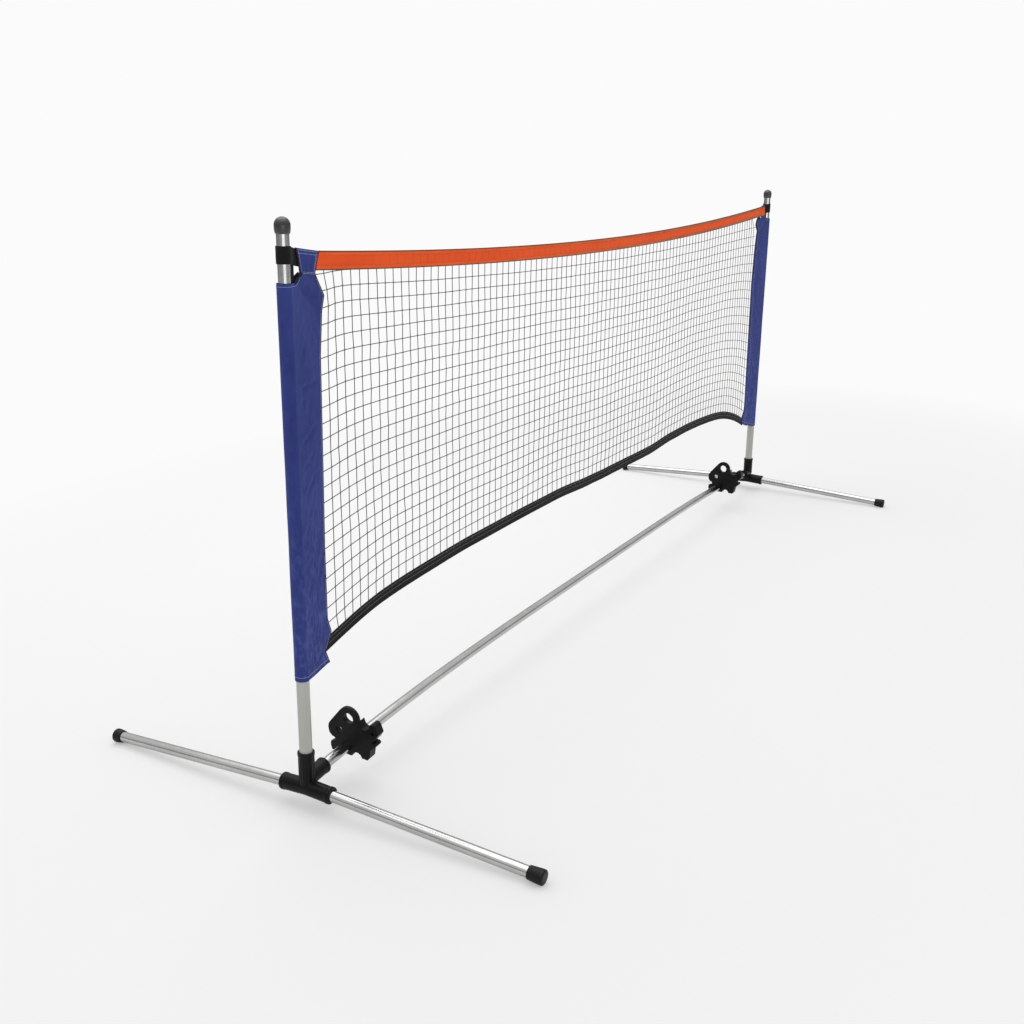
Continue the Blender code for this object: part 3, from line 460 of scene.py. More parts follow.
def new_mesh(points, faces):
    mesh = bpy.data.meshes.new("shape")
    mesh.from_pydata([tuple(point) for point in points], [], faces)
    return edit_mesh(mesh, turn_faces_out)


def join_meshes(meshes):
    shape = bmesh.new()
    for mesh in meshes:
        shape.from_mesh(mesh)
    joined = bpy.data.meshes.new("shape")
    shape.to_mesh(joined)
    shape.free()
    return joined


def add_piece(name, mesh, finish, body, node=None, smooth_angle=50.0):
    """Put a mesh in the scene as a piece on a body, in the place of a node if one is named."""
    mesh.name = name
    mesh.shade_smooth()
    mesh.set_sharp_from_angle(angle=math.radians(smooth_angle))
    mesh.materials.clear()
    mesh.materials.append(FINISHES[finish])
    piece = link_object(name, mesh)
    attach(piece, body)
    if node:
        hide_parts(node)
    return piece


def grid_faces(rows, columns, close_rows=False, close_columns=False, first=0):
    """Quads over points stored row by row, joined end to start where asked."""
    faces = []
    for row in range(rows if close_rows else rows - 1):
        here = first + row * columns
        there = first + (row + 1) % rows * columns
        for column in range(columns if close_columns else columns - 1):
            after = (column + 1) % columns
            faces.append([here + column, here + after, there + after, there + column])
    return faces


def capped_faces(rows, columns, first=0):
    """The skin of a bar whose cross-sections are closed rows of points, and then its two ends."""
    caps = [[first + row * columns + column for column in range(columns)] for row in (0, rows - 1)]
    return grid_faces(rows, columns, close_columns=True, first=first) + caps


def cross_frame(direction, reference):
    along = Vector(direction).normalized()
    if abs(along.dot(reference)) > 0.99:
        reference = Vector((1.0, 0.0, 0.0))
    side = along.cross(reference).normalized()
    return side, side.cross(along).normalized()


def ring(centre, direction, sides, wide, deep=None):
    """Points round a direction: a circle of radius wide or, with deep, an oval that is deep along Y."""
    side, up = cross_frame(direction, Y_AXIS if deep else Z_AXIS)
    points = []
    for step in range(sides):
        angle = 2.0 * math.pi * step / sides
        points.append(centre + side * (wide * math.cos(angle)) + up * ((deep or wide) * math.sin(angle)))
    return points


def directions_of(path):
    last = len(path) - 1
    return [(path[min(i + 1, last)] - path[max(i - 1, 0)]).normalized() for i in range(last + 1)]


def tube_mesh(path, radius):
    """A hollow tube along a path, its end edges broken by a small chamfer."""
    sides = 48
    inner = radius - TUBE_WALL
    directions = directions_of(path)
    inside = list(zip(path[1:-1], directions[1:-1]))
    (first, start), (last, finish) = (path[0], directions[0]), (path[-1], directions[-1])
    stations = [(first, start, radius - TUBE_CHAMFER), (first + start * TUBE_CHAMFER, start, radius)]
    stations += [(*station, radius) for station in inside]
    stations += [(last - finish * TUBE_CHAMFER, finish, radius), (last, finish, radius - TUBE_CHAMFER)]
    stations += [(last, finish, inner)]
    stations += [(*station, inner) for station in reversed(inside)]
    stations += [(first, start, inner)]
    points = [point for centre, along, size in stations for point in ring(centre, along, sides, size)]
    return new_mesh(points, grid_faces(len(stations), sides, close_rows=True, close_columns=True))


def turned_mesh(start, direction, profile):
    """A solid turned about an axis from a profile of (distance along the axis, radius)."""
    sides = 64
    along = Vector(direction).normalized()
    points = []
    for distance, radius in profile:
        points += ring(start + along * distance, along, sides, radius)
    return new_mesh(points, capped_faces(len(profile), sides))


def bore_mesh(start, direction, length, radius=TUBE_RADIUS):
    """A cutter for the hole that a tube of this radius fits."""
    size = radius + GAP / 2
    return turned_mesh(start, direction, [(0.0, size), (length, size)])


def rounding(start, base, radius, angles):
    """The rounded end of a turned profile, over angles in degrees from its full width."""
    angles = [math.radians(angle) for angle in angles]
    return [(start + radius * math.sin(angle), base + radius * math.cos(angle)) for angle in angles]


def strand_mesh(paths, sides, wide, deep=None):
    """Solid bars along many paths in one mesh, round or flattened."""
    points = []
    faces = []
    for path in paths:
        faces += capped_faces(len(path), sides, len(points))
        for centre, along in zip(path, directions_of(path)):
            points += ring(centre, along, sides, wide, deep)
    return new_mesh(points, faces)


def add_strands(name, finish, paths, sides=5, wide=THREAD_RADIUS, deep=None):
    """Threads or bindings of the net as one piece."""
    add_piece(name, strand_mesh(paths, sides, wide, deep), finish, NET_BODY)


def evaluated_mesh(mesh, **modifiers):
    """A copy of a mesh after modifiers, each named with its settings."""
    item = link_object("workpiece", mesh)
    for kind, settings in modifiers.items():
        modifier = item.modifiers.new(kind, kind)
        for key, value in settings.items():
            setattr(modifier, key, value)
    depsgraph = bpy.context.evaluated_depsgraph_get()
    result = bpy.data.meshes.new_from_object(item.evaluated_get(depsgraph))
    bpy.data.objects.remove(item, do_unlink=True)
    return result


def cut_out(mesh, tools):
    for tool in tools:
        cutter = link_object("cutter", tool)
        settings = {"operation": "DIFFERENCE", "solver": "EXACT", "object": cutter}
        mesh = evaluated_mesh(mesh, BOOLEAN=settings)
        bpy.data.objects.remove(cutter, do_unlink=True)
    return mesh


def moulded(mesh, voxel):
    """Rounded edges and filleted corners, as a moulding has."""
    remesh = {"mode": "VOXEL", "voxel_size": voxel}
    soften = {"factor": 0.5, "iterations": 3}
    return evaluated_mesh(mesh, REMESH=remesh, SMOOTH=soften)


# Frame pieces

# The ribs round the post's socket
RIBS = 16
RIB_WIDTH = 0.0016
RIB_ROOT = 0.0030
RIB_RISE = 0.0007
RIB_START = 0.022
RIB_SHORT_OF_MOUTH = 0.011
# The grain at which a moulding's edges melt into roundings
TEE_VOXEL = 0.0008
CLIP_VOXEL = 0.0007


def add_tube(name, node, path, body="base", radius=TUBE_RADIUS, finish="polished_tube"):
    add_piece(name, tube_mesh(path, radius), finish, body, node=node, smooth_angle=30.0)


def foot_axis(end, side, distance):
    return at_end(end, 0.0, SIDES[side] * distance, TEE_HEIGHT - FOOT_SLOPE * distance)


def foot_direction(end, side, distance):
    return (foot_axis(end, side, 1.0) - foot_axis(end, side, distance)).normalized()


def bar_point(x):
    height = BAR_MIDDLE_HEIGHT - BAR_CAMBER * (abs(x) / BAR_MOUTH_X) ** BAR_CAMBER_POWER
    return Vector((x, 0.0, height))


def make_feet():
    short_of_cap = 0.006
    for end in ENDS:
        for side in SIDES:
            start = foot_axis(end, side, SOCKET_FLOOR + GAP)
            finish = foot_axis(end, side, FOOT_HALF - short_of_cap)
            name = f"{end}_{side}_foot"
            add_tube(f"{name}_tube", name, [start, start.lerp(finish, 0.5), finish])
            make_foot_cap(end, side)


def cut_at_floor(shape):
    """Take off what is under the floor and close the cut."""
    cut = bmesh.ops.bisect_plane(
        shape, geom=shape.verts[:] + shape.edges[:] + shape.faces[:], plane_co=(0.0, 0.0, 0.0),
        plane_no=(0.0, 0.0, 1.0), clear_inner=True)
    edges = [item for item in cut["geom_cut"] if isinstance(item, bmesh.types.BMEdge)]
    bmesh.ops.edgeloop_fill(shape, edges=edges)


def make_foot_cap(end, side):
    """A soft cap that widens from its mouth, with a flat where it stands on the floor."""
    tip = foot_axis(end, side, FOOT_HALF)
    along = (tip - foot_axis(end, side, 0.0)).normalized()
    length = CAP_LENGTH[side]
    start = tip - along * length
    mouth = CAP_RADIUS - 0.0020
    end_wall = 0.004
    before_mouth = 0.002
    profile = [(0.0, mouth - 0.0006), (0.0006, mouth), (length * 0.4, CAP_RADIUS - 0.0009),
               (length * 0.7, CAP_RADIUS - 0.0001), (length - 0.0050, CAP_RADIUS)]
    profile += rounding(length - CAP_CORNER, CAP_RADIUS - CAP_CORNER, CAP_CORNER, range(15, 91, 15))
    bore = bore_mesh(start - along * before_mouth, along, length - end_wall)
    mesh = edit_mesh(cut_out(turned_mesh(start, along, profile), [bore]), cut_at_floor)
    name = f"{end}_{side}_foot_cap"
    add_piece(f"{name}_rubber", mesh, "black_rubber", "base", name, 40.0)


def add_bar_section(section, start_x, finish_x):
    path = [bar_point(x) for x in steps_between(start_x, finish_x, 40)]
    add_tube(f"{section}_bar_section", f"{section}_bar_tube", path)


def make_bar():
    beside_post = HALF_SPAN - LOWER_POST_RADIUS - 0.005
    for end, sign in ENDS.items():
        add_bar_section(end, sign * beside_post, sign * BAR_JOINT_X)
    add_bar_section("middle", GAP - BAR_JOINT_X, BAR_JOINT_X - GAP)


def socket_mesh(start, along, length, root, mouth=None):
    """A socket's outside with a raised lip at its mouth."""
    mouth = mouth or root
    below_lip = length - SOCKET_LIP_LENGTH
    profile = [(0.0, root), (below_lip - SOCKET_LIP, mouth), (below_lip, mouth + SOCKET_LIP),
               (length - SOCKET_LIP, mouth + SOCKET_LIP), (length, mouth)]
    return turned_mesh(start, along, profile)


def rib_mesh(centre, outward, start, finish):
    """One raised rib along the wall of the post's socket."""
    half_width = RIB_WIDTH / 2
    wall = POST_SOCKET_MOUTH - 0.0006
    across = Z_AXIS.cross(outward).normalized()
    corners = []
    for distance in (start, finish):
        for aside in (-half_width, half_width):
            for out in (wall - RIB_ROOT, wall + RIB_RISE):
                corners.append(centre + Z_AXIS * distance + across * aside + outward * out)
    faces = [[0, 1, 3, 2], [4, 6, 7, 5], [0, 4, 5, 1], [2, 3, 7, 6], [0, 2, 6, 4], [1, 5, 7, 3]]
    return new_mesh(corners, faces)


def bar_socket(end):
    """The root and the mouth of a tee's socket for the bar, and the way between them."""
    root = bar_point(post_x(end) - ENDS[end] * STUB_ROOT)
    mouth = bar_point(ENDS[end] * BAR_MOUTH_X)
    return root, mouth, (mouth - root).normalized()


def tee_outside(end):
    """Four lipped sockets, the post's one ribbed, melted into one moulding."""
    centre = at_end(end, 0.0, 0.0, TEE_HEIGHT)
    post_length = POST_SOCKET_TOP - TEE_HEIGHT
    parts = [socket_mesh(centre, Z_AXIS, post_length, POST_SOCKET_ROOT, POST_SOCKET_MOUTH)]
    for side in SIDES:
        along = foot_direction(end, side, 0.0)
        start = foot_axis(end, side, 0.0) - along * SOCKET_OVERLAP
        parts.append(socket_mesh(start, along, SLEEVE_HALF + SOCKET_OVERLAP, SOCKET_RADIUS))
    root, mouth, along = bar_socket(end)
    parts.append(socket_mesh(root, along, (mouth - root).length, STUB_RADIUS))
    for index in range(RIBS):
        angle = 2.0 * math.pi * (index + 0.5) / RIBS
        outward = Vector((math.cos(angle), math.sin(angle), 0.0))
        parts.append(rib_mesh(centre, outward, RIB_START, post_length - RIB_SHORT_OF_MOUTH))
    return moulded(join_meshes(parts), TEE_VOXEL)


def tee_bores(end):
    """Cutters for the feet, the post and the bar, from each socket's floor to past its mouth."""
    past_mouth = 0.010
    bores = []
    for side in SIDES:
        start = foot_axis(end, side, SOCKET_FLOOR)
        along = foot_direction(end, side, SOCKET_FLOOR)
        bores.append(bore_mesh(start, along, SLEEVE_HALF - SOCKET_FLOOR + past_mouth))
    floor = at_end(end, 0.0, 0.0, POST_BOTTOM - GAP)
    bores.append(bore_mesh(floor, Z_AXIS, POST_SOCKET_TOP - floor.z + past_mouth, LOWER_POST_RADIUS))
    root, mouth, along = bar_socket(end)
    start = root.lerp(mouth, 0.24)
    bores.append(bore_mesh(start, along, (mouth - start).length + past_mouth))
    return bores


def make_base_tee(end):
    node = f"{end}_base_tee"
    mesh = cut_out(tee_outside(end), tee_bores(end))
    add_piece(f"{end}_base_moulding", mesh, "black_plastic", "base", node=node, smooth_angle=45.0)


def make_storage_clip(end):
    """The clip's moulding with rounded edges."""
    node = f"{end}_storage_clip"
    mesh = moulded(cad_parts[node].data.copy(), CLIP_VOXEL)
    add_piece(f"{end}_clip_moulding", mesh, "black_plastic", f"{end}_clip", node=node, smooth_angle=60.0)


def make_posts():
    for end in ENDS:
        path = [at_end(end, 0.0, 0.0, height) for height in (POST_BOTTOM, 0.4, LOWER_POST_TOP)]
        add_tube(f"{end}_lower_post_tube", f"{end}_lower_post", path, "base", LOWER_POST_RADIUS, "satin_tube")
        path = [at_end(end, 0.0, 0.0, height) for height in (UPPER_POST_BOTTOM, 0.8, UPPER_POST_TOP)]
        add_tube(f"{end}_upper_post_tube", f"{end}_upper_post", path, f"{end}_upper")
        make_ball_cap(end)


def make_ball_cap(end):
    """A domed cap with a softly turned rim."""
    base = at_end(end, 0.0, 0.0, BALL_TOP - BALL_HEIGHT)
    below_rim = 0.002
    profile = [(0.0, BALL_RADIUS - 0.0026), (0.0004, BALL_RADIUS - 0.0019), (0.0014, BALL_RADIUS - 0.0011),
               (0.0040, BALL_RADIUS - 0.0007), (0.0100, BALL_RADIUS - 0.0001)]
    profile += rounding(BALL_HEIGHT - BALL_RADIUS, 0.0, BALL_RADIUS, steps_between(0.0, 88.0, 17))
    bore = bore_mesh(base - Z_AXIS * below_rim, Z_AXIS, UPPER_POST_TOP - base.z + below_rim + GAP)
    mesh = cut_out(turned_mesh(base, Z_AXIS, profile), [bore])
    add_piece(f"{end}_ball_cap_rubber", mesh, "dark_rubber", f"{end}_upper",
              node=f"{end}_ball_cap", smooth_angle=40.0)


def dress_hidden_nodes():
    """The pieces inside the lower posts keep their solids and get their finishes."""
    slots = {"post_bush": "white_nylon", "lock_spindle": "black_plastic", "lock_expander": "white_nylon"}
    for end in ENDS:
        for piece, slot in slots.items():
            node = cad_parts[f"{end}_{piece}"]
            node.data.materials.clear()
            node.data.materials.append(FINISHES[slot])


# Cloth sleeves

# The cloth leaves the round of the post at this angle and runs on as a flank to the inner edge
TANGENT = math.radians(80.0)
TANGENT_S = CLOTH_RADIUS * math.cos(TANGENT)
TANGENT_Y = CLOTH_RADIUS * math.sin(TANGENT)
ROUND_STEPS = 28
FLANK_STEPS = 44
FLANK_SHARE = FLANK_STEPS / (FLANK_STEPS + ROUND_STEPS / 2)
ROUND_SHARE = 1.0 - FLANK_SHARE
SLEEVE_ROWS = 230
# Distance of the seam from the inner edge
SEAM_INSET = {"near": 0.0042, "far": 0.0185}
# Half width and finish of the tape that closes the inner edge, wide and black at the far end
EDGE_BINDING = {"near": (0.0034, "brown_binding"), "far": (0.0085, "black_binding")}
# Creases on the sleeves: start s and height, end s and height, width, depth
CREASES = {
    "near": [
        (0.004, 0.914, 0.079, 0.920, 0.0050, 0.0036), (0.006, 0.800, 0.034, 0.812, 0.0060, 0.0030),
        (0.030, 0.810, 0.070, 0.834, 0.0055, 0.0036), (0.010, 0.750, 0.056, 0.780, 0.0050, 0.0018),
        (0.016, 0.688, 0.062, 0.736, 0.0050, 0.0022), (0.010, 0.884, 0.038, 0.896, 0.0035, 0.0010),
        (0.012, 0.866, 0.040, 0.864, 0.0035, 0.0010), (0.066, 1.044, 0.090, 1.008, 0.0045, 0.0014),
        (0.004, 0.542, 0.052, 0.572, 0.0045, 0.0013), (0.004, 0.444, 0.054, 0.508, 0.0050, 0.0016),
        (0.014, 0.334, 0.072, 0.376, 0.0045, 0.0016), (0.030, 0.320, 0.080, 0.340, 0.0040, 0.0014),
        (0.034, 1.112, 0.092, 1.068, 0.0090, 0.0044), (0.052, 1.130, 0.088, 1.108, 0.0040, -0.0016),
        (0.020, 0.620, 0.050, 0.655, 0.0045, 0.0010), (0.050, 0.965, 0.090, 0.995, 0.0050, 0.0010),
    ],
    "far": [
        (0.020, 0.880, 0.100, 0.905, 0.0060, 0.0020), (0.030, 0.700, 0.095, 0.742, 0.0060, 0.0022),
        (0.015, 0.560, 0.080, 0.600, 0.0060, 0.0016), (0.020, 0.420, 0.090, 0.462, 0.0050, 0.0018),
        (0.030, 1.120, 0.110, 1.070, 0.0080, 0.0024), (0.020, 0.300, 0.100, 0.350, 0.0060, 0.0020),
        (0.040, 0.985, 0.110, 1.010, 0.0050, 0.0014), (0.010, 0.800, 0.060, 0.812, 0.0045, 0.0012),
    ],
}
# The creases run this much lower on the back than on the front
CREASE_STAGGER = 0.037


def ripple(amplitude, x, y, z):
    return amplitude * noise.noise(Vector((x, y, z)))


def sleeve_edge(end, height):
    return read_line(SLEEVE_EDGE[end], height, 1)


def edge_height(end, level):
    """The height on the inner edge of a row of the sleeve, with level from 0 to 1."""
    return between(level, SLEEVE_EDGE[end][0][1], SLEEVE_EDGE[end][-1][1])


def sleeve_limits(end, s):
    """The lowest and the highest cloth at a distance s, along the two hems."""
    bottom = [(0.024, SLEEVE_BOTTOM[end]), SLEEVE_EDGE[end][0]]
    top = [(0.022, SLEEVE_TOP[end]), NECK_LEFT[end], NECK_RIGHT[end]]
    return read_line(bottom, s, 0), read_line(top, s, 0)


def crease_depth(s, height, crease):
    """A groove along a line with a soft ridge above it, fading out at both of its ends."""
    start_s, start_z, end_s, end_z, width, depth = crease
    along_s = end_s - start_s
    along_z = end_z - start_z
    length = math.hypot(along_s, along_z)
    share = ((s - start_s) * along_s + (height - start_z) * along_z) / (length * length)
    across = ((height - start_z) * along_s - (s - start_s) * along_z) / length
    fade = smooth_step((share + 0.15) / 0.35) * smooth_step((1.15 - share) / 0.35)
    groove = -math.exp(-(across / width) ** 2)
    ridge = 0.75 * math.exp(-((across - 2.1 * width) / (1.5 * width)) ** 2)
    return depth * fade * (groove + ridge)


def cloth_relief(end, side, s, height):
    """How far the cloth stands out from its smooth shape: waves, wrinkles and creases."""
    seed = 7.0 * ENDS[end] + 3.0 * side
    low_down = smooth_step((0.80 - height) / 0.35)
    relief = ripple(0.0034, s * 11.0, seed, height * 4.5)
    relief += ripple(0.0016, (s - height * 0.45) * 62.0, seed + 5.0, height * 9.0)
    relief += ripple(0.0006 + 0.0009 * low_down, s * 130.0, seed + 9.0, height * 80.0)
    behind = CREASE_STAGGER if side > 0.0 else 0.0
    for crease in CREASES[end]:
        relief += crease_depth(s, height + behind, crease)
    return relief


def round_point(end, side, reach, level):
    """A point on the cloth round the post, with a little slack."""
    angle = math.pi - reach / ROUND_SHARE * (math.pi - TANGENT)
    s = CLOTH_RADIUS * math.cos(angle)
    y = side * CLOTH_RADIUS * math.sin(angle)
    height = between(level, *sleeve_limits(end, s))
    outward = Vector((-ENDS[end] * math.cos(angle), side * math.sin(angle), 0.0))
    slack = 0.0006 + ripple(0.0006, side, s * 60.0, height * 9.0)
    return at_end(end, s, y, height) + outward * slack


def flank_point(end, side, share, level):
    """A point on a flank, which closes towards the seam and holds no wrinkle at its borders."""
    on_edge = edge_height(end, level)
    s = between(share, TANGENT_S, sleeve_edge(end, on_edge))
    closing = between(smooth_step((on_edge - 0.98) / 0.14), 1.15, 2.6)
    y = side * (SEAM_HALF + (TANGENT_Y - SEAM_HALF) * (1.0 - share) ** closing)
    low, high = sleeve_limits(end, s)
    height = between(level, low, high)
    free = smooth_step(share / 0.30) * smooth_step((1.0 - share) / 0.16)
    off_hems = smooth_step((height - low) / 0.02) * smooth_step((high - height) / 0.02)
    relief = cloth_relief(end, side, s, height) * free * between(off_hems, 0.35, 1.0)
    if free:
        relief = max(relief, SEAM_HALF - abs(y))
    return at_end(end, s, y, height) + Y_AXIS * side * relief


def sleeve_point(end, around, level):
    """A point on the cloth: around runs from the front edge at -1 to the back edge at 1."""
    side = -1.0 if around < 0.0 else 1.0
    reach = abs(around)
    if reach < ROUND_SHARE:
        return round_point(end, side, reach, level)
    return flank_point(end, side, (reach - ROUND_SHARE) / FLANK_SHARE, level)


def around_of(end, s, side, level):
    """The loop position of a distance s on one flank."""
    edge = sleeve_edge(end, edge_height(end, level))
    share = clamp((s - TANGENT_S) / (edge - TANGENT_S))
    return side * (ROUND_SHARE + share * FLANK_SHARE)


def sleeve_levels(end):
    """Rows up the sleeve: evenly spaced, and one at each corner of its inner edge."""
    low = SLEEVE_EDGE[end][0][1]
    high = SLEEVE_EDGE[end][-1][1]
    levels = [step / (SLEEVE_ROWS - 1) for step in range(SLEEVE_ROWS)]
    levels += [(height - low) / (high - low) for s, height in SLEEVE_EDGE[end][1:-1]]
    return sorted(levels)


def make_sleeve(end):
    places = steps_between(-1.0, 1.0, 2 * FLANK_STEPS + ROUND_STEPS)
    levels = sleeve_levels(end)
    points = [sleeve_point(end, around, level) for level in levels for around in places]
    mesh = new_mesh(points, grid_faces(len(levels), len(places)))
    mesh = evaluated_mesh(mesh, SOLIDIFY={"thickness": CLOTH, "offset": 0.0, "use_even_offset": False})
    sleeve = add_piece(f"{end}_sleeve_cloth", mesh, "blue_cloth", NET_BODY,
                       node=f"{end}_net_sleeve", smooth_angle=80.0)
    make_sleeve_stitches(end)
    make_edge_binding(end)
    make_neck_binding(end)


def dashes(path):
    """Cut a path into stitches."""
    lengths = [0.0]
    for before, after in zip(path, path[1:]):
        lengths.append(lengths[-1] + (after - before).length)

    def at(distance):
        for index in range(1, len(path)):
            if distance <= lengths[index]:
                share = (distance - lengths[index - 1]) / max(lengths[index] - lengths[index - 1], 1e-9)
                return path[index - 1].lerp(path[index], share)
        return path[-1]

    pieces = []
    start = 0.0
    while start + STITCH_LENGTH < lengths[-1]:
        pieces.append([at(start), at(start + STITCH_LENGTH / 2), at(start + STITCH_LENGTH)])
        start += STITCH_LENGTH + STITCH_GAP
    return pieces


def lifted(end, around, level, lift):
    """A point just outside the cloth."""
    point = sleeve_point(end, around, level)
    step = 0.002
    across = sleeve_point(end, around + step, level) - sleeve_point(end, around - step, level)
    along = sleeve_point(end, around, clamp(level + step)) - sleeve_point(end, around, clamp(level - step))
    normal = across.cross(along).normalized()
    if normal.dot(point - at_end(end, 0.02, 0.0, point.z)) < 0.0:
        normal = -normal
    return point + normal * lift


def make_sleeve_stitches(end):
    """Pale seams: along both hems, and beside the inner edge on both sides."""
    lift = CLOTH / 2 + THREAD_RADIUS * THREAD_STAND
    length = SLEEVE_TOP[end] - SLEEVE_BOTTOM[end]
    bottom_hem = []
    top_hem = []
    for around in steps_between(-0.985, 0.985, 90):
        meet_flap = smooth_step((abs(around) - 0.47) / 0.15)
        top_inset = SLEEVE_HEM["top"] * (1.0 - 0.85 * meet_flap)
        bottom_hem.append(lifted(end, around, SLEEVE_HEM["bottom"] / length, lift))
        top_hem.append(lifted(end, around, 1.0 - top_inset / length, lift))
    paths = dashes(bottom_hem) + dashes(top_hem)
    for side in SIDES.values():
        path = []
        for level in sleeve_levels(end)[2:-2:2]:
            s = sleeve_edge(end, edge_height(end, level)) - SEAM_INSET[end]
            path.append(lifted(end, around_of(end, s, side, level), level, lift))
        paths += dashes(path)
    add_strands(f"{end}_sleeve_stitches", "pale_thread", paths)


def make_edge_binding(end):
    """The tape that closes the sleeve's inner edge."""
    half_width, finish = EDGE_BINDING[end]
    beyond_edge = 0.0008
    path = []
    for level in sleeve_levels(end)[::2]:
        height = edge_height(end, level)
        path.append(at_end(end, sleeve_edge(end, height) - half_width + beyond_edge, 0.0, height))
    add_strands(f"{end}_edge_binding", finish, [path], 16, half_width, 0.0022)


def make_neck_binding(end):
    """Black tape along the neck's slanting hem, made wide enough to cover the inside of the back flank and so
    stand as painted shade there, and the strip that runs up to the strap.
    """
    paths = []
    for side in SIDES.values():
        first, last = [around_of(end, s, side, 1.0) for s in (0.016, NECK_LEFT[end][0])]
        paths.append([lifted(end, around, 1.0, 0.0002) for around in steps_between(first, last, 12)])
    # Partly binding, partly a dark band laid over the shaded inside of the sleeve: painted shade
    add_strands(f"{end}_neck_binding_and_painted_shade", "black_binding", paths, 10, 0.0030, 0.0019)
    heights = steps_between(SLEEVE_TOP[end] - 0.012, STRAP_BOTTOM + 0.004, 6)
    strip = [at_end(end, 0.0195, -0.0030, height) for height in heights]
    add_strands(f"{end}_neck_strip", "black_binding", [strip], 12, 0.0046, 0.0014)


# Corner flaps and straps

FLAP_COLUMNS = 36
FLAP_ROWS = 40
FLAP_SEAM_STEPS = 40
# Half the flap's thickness at its rims, and how much more it has in its middle
FLAP_HALF = 0.0011
FLAP_PILLOW = 0.0013


def off_rims(share, level, power):
    """1 over most of the flap, falling to 0 at its rims."""
    return (1.0 - (2.0 * share - 1.0) ** power) * (1.0 - (2.0 * level - 1.0) ** power)


def flap_point(end, share, level, side):
    """A point across and up the flap, whose two upright edges draw in between their ends."""
    left = between_pairs(level, NECK_LEFT[end], FLAP_TOP_LEFT[end])
    right = between_pairs(level, NECK_RIGHT[end], FLAP_TOP_RIGHT[end])
    draw = 0.0016 * math.sin(math.pi * level)
    s = between(share, left[0] + draw, right[0] - draw)
    height = between(share, left[1], right[1])
    pillow = FLAP_PILLOW * off_rims(share, level, 6)
    gather = 0.0009 * math.sin(share * 19.0 + side) * (1.0 - level) ** 2
    gather += ripple(0.0010, s * 55.0, side * 3.0, height * 60.0)
    y = side * (FLAP_HALF + pillow + max(gather, -0.0008) * off_rims(share, level, 8))
    return at_end(end, s, y, height)


def make_flap(end):
    """Two layers of cloth, front and back, joined at their rims."""
    shares = steps_between(0.0, 1.0, FLAP_COLUMNS - 1)
    points = []
    for level in steps_between(0.0, 1.0, FLAP_ROWS - 1):
        points += [flap_point(end, share, level, -1.0) for share in shares]
        points += [flap_point(end, share, level, 1.0) for share in reversed(shares)]
    count = 2 * FLAP_COLUMNS
    faces = grid_faces(FLAP_ROWS, count, close_columns=True)
    for first in (0, (FLAP_ROWS - 1) * count):
        for column in range(FLAP_COLUMNS - 1):
            front = first + column
            back = first + count - 1 - column
            faces.append([front, front + 1, back - 1, back])
    flap = add_piece(f"{end}_flap_cloth", new_mesh(points, faces), "blue_cloth", NET_BODY,
                     node=f"{end}_corner_flap", smooth_angle=60.0)
    make_flap_stitches(end)


def make_flap_stitches(end):
    """Seams across and up the flap on both sides, and the bindings of its upright edges."""
    across = steps_between(0.05, 0.95, FLAP_SEAM_STEPS)
    upward = steps_between(0.04, 0.93, FLAP_SEAM_STEPS)
    seams = [[(share, level) for share in across] for level in (0.04, 0.80, 0.93)]
    seams += [[(share, level) for level in upward] for share in (0.06, 0.88, 0.95)]
    paths = []
    for side in SIDES.values():
        lift = Y_AXIS * (side * THREAD_RADIUS * THREAD_STAND)
        for seam in seams:
            paths += dashes([flap_point(end, share, level, side) + lift for share, level in seam])
    add_strands(f"{end}_flap_stitches", "pale_thread", paths)
    levels = steps_between(0.0, 1.0, FLAP_SEAM_STEPS)
    edges = [[flap_point(end, share, level, 0.0) for level in levels] for share in (0.0, 1.0)]
    add_strands(f"{end}_flap_binding", "brown_binding", edges, 12, 0.0011, 0.0017)


def strap_loop(radius, front, rear, join_s, tail_s):
    """One face of the strap seen from above: round the post, out along the tail and back, as (s, y)."""
    first = math.radians(58.0)
    angles = steps_between(first, 2.0 * math.pi - first, 40)
    points = [(radius * math.cos(angle), radius * math.sin(angle)) for angle in angles]
    points += [(between(0.5, points[-1][0], join_s), between(0.6, points[-1][1], front)), (join_s, front)]
    points += [(between(share, join_s, tail_s), front) for share in (0.33, 0.66, 1.0)]
    points += [(between(share, join_s, tail_s), rear) for share in (1.0, 0.66, 0.33, 0.0)]
    return points


def strap_row(end, loop, level, grow):
    """One level of the strap, whose tail falls away from the post."""
    row = []
    for s, y in loop:
        fall = STRAP_FALL * max(s - 0.004, 0.0)
        row.append(at_end(end, s * grow, y * grow, STRAP_BOTTOM + level - fall))
    return row


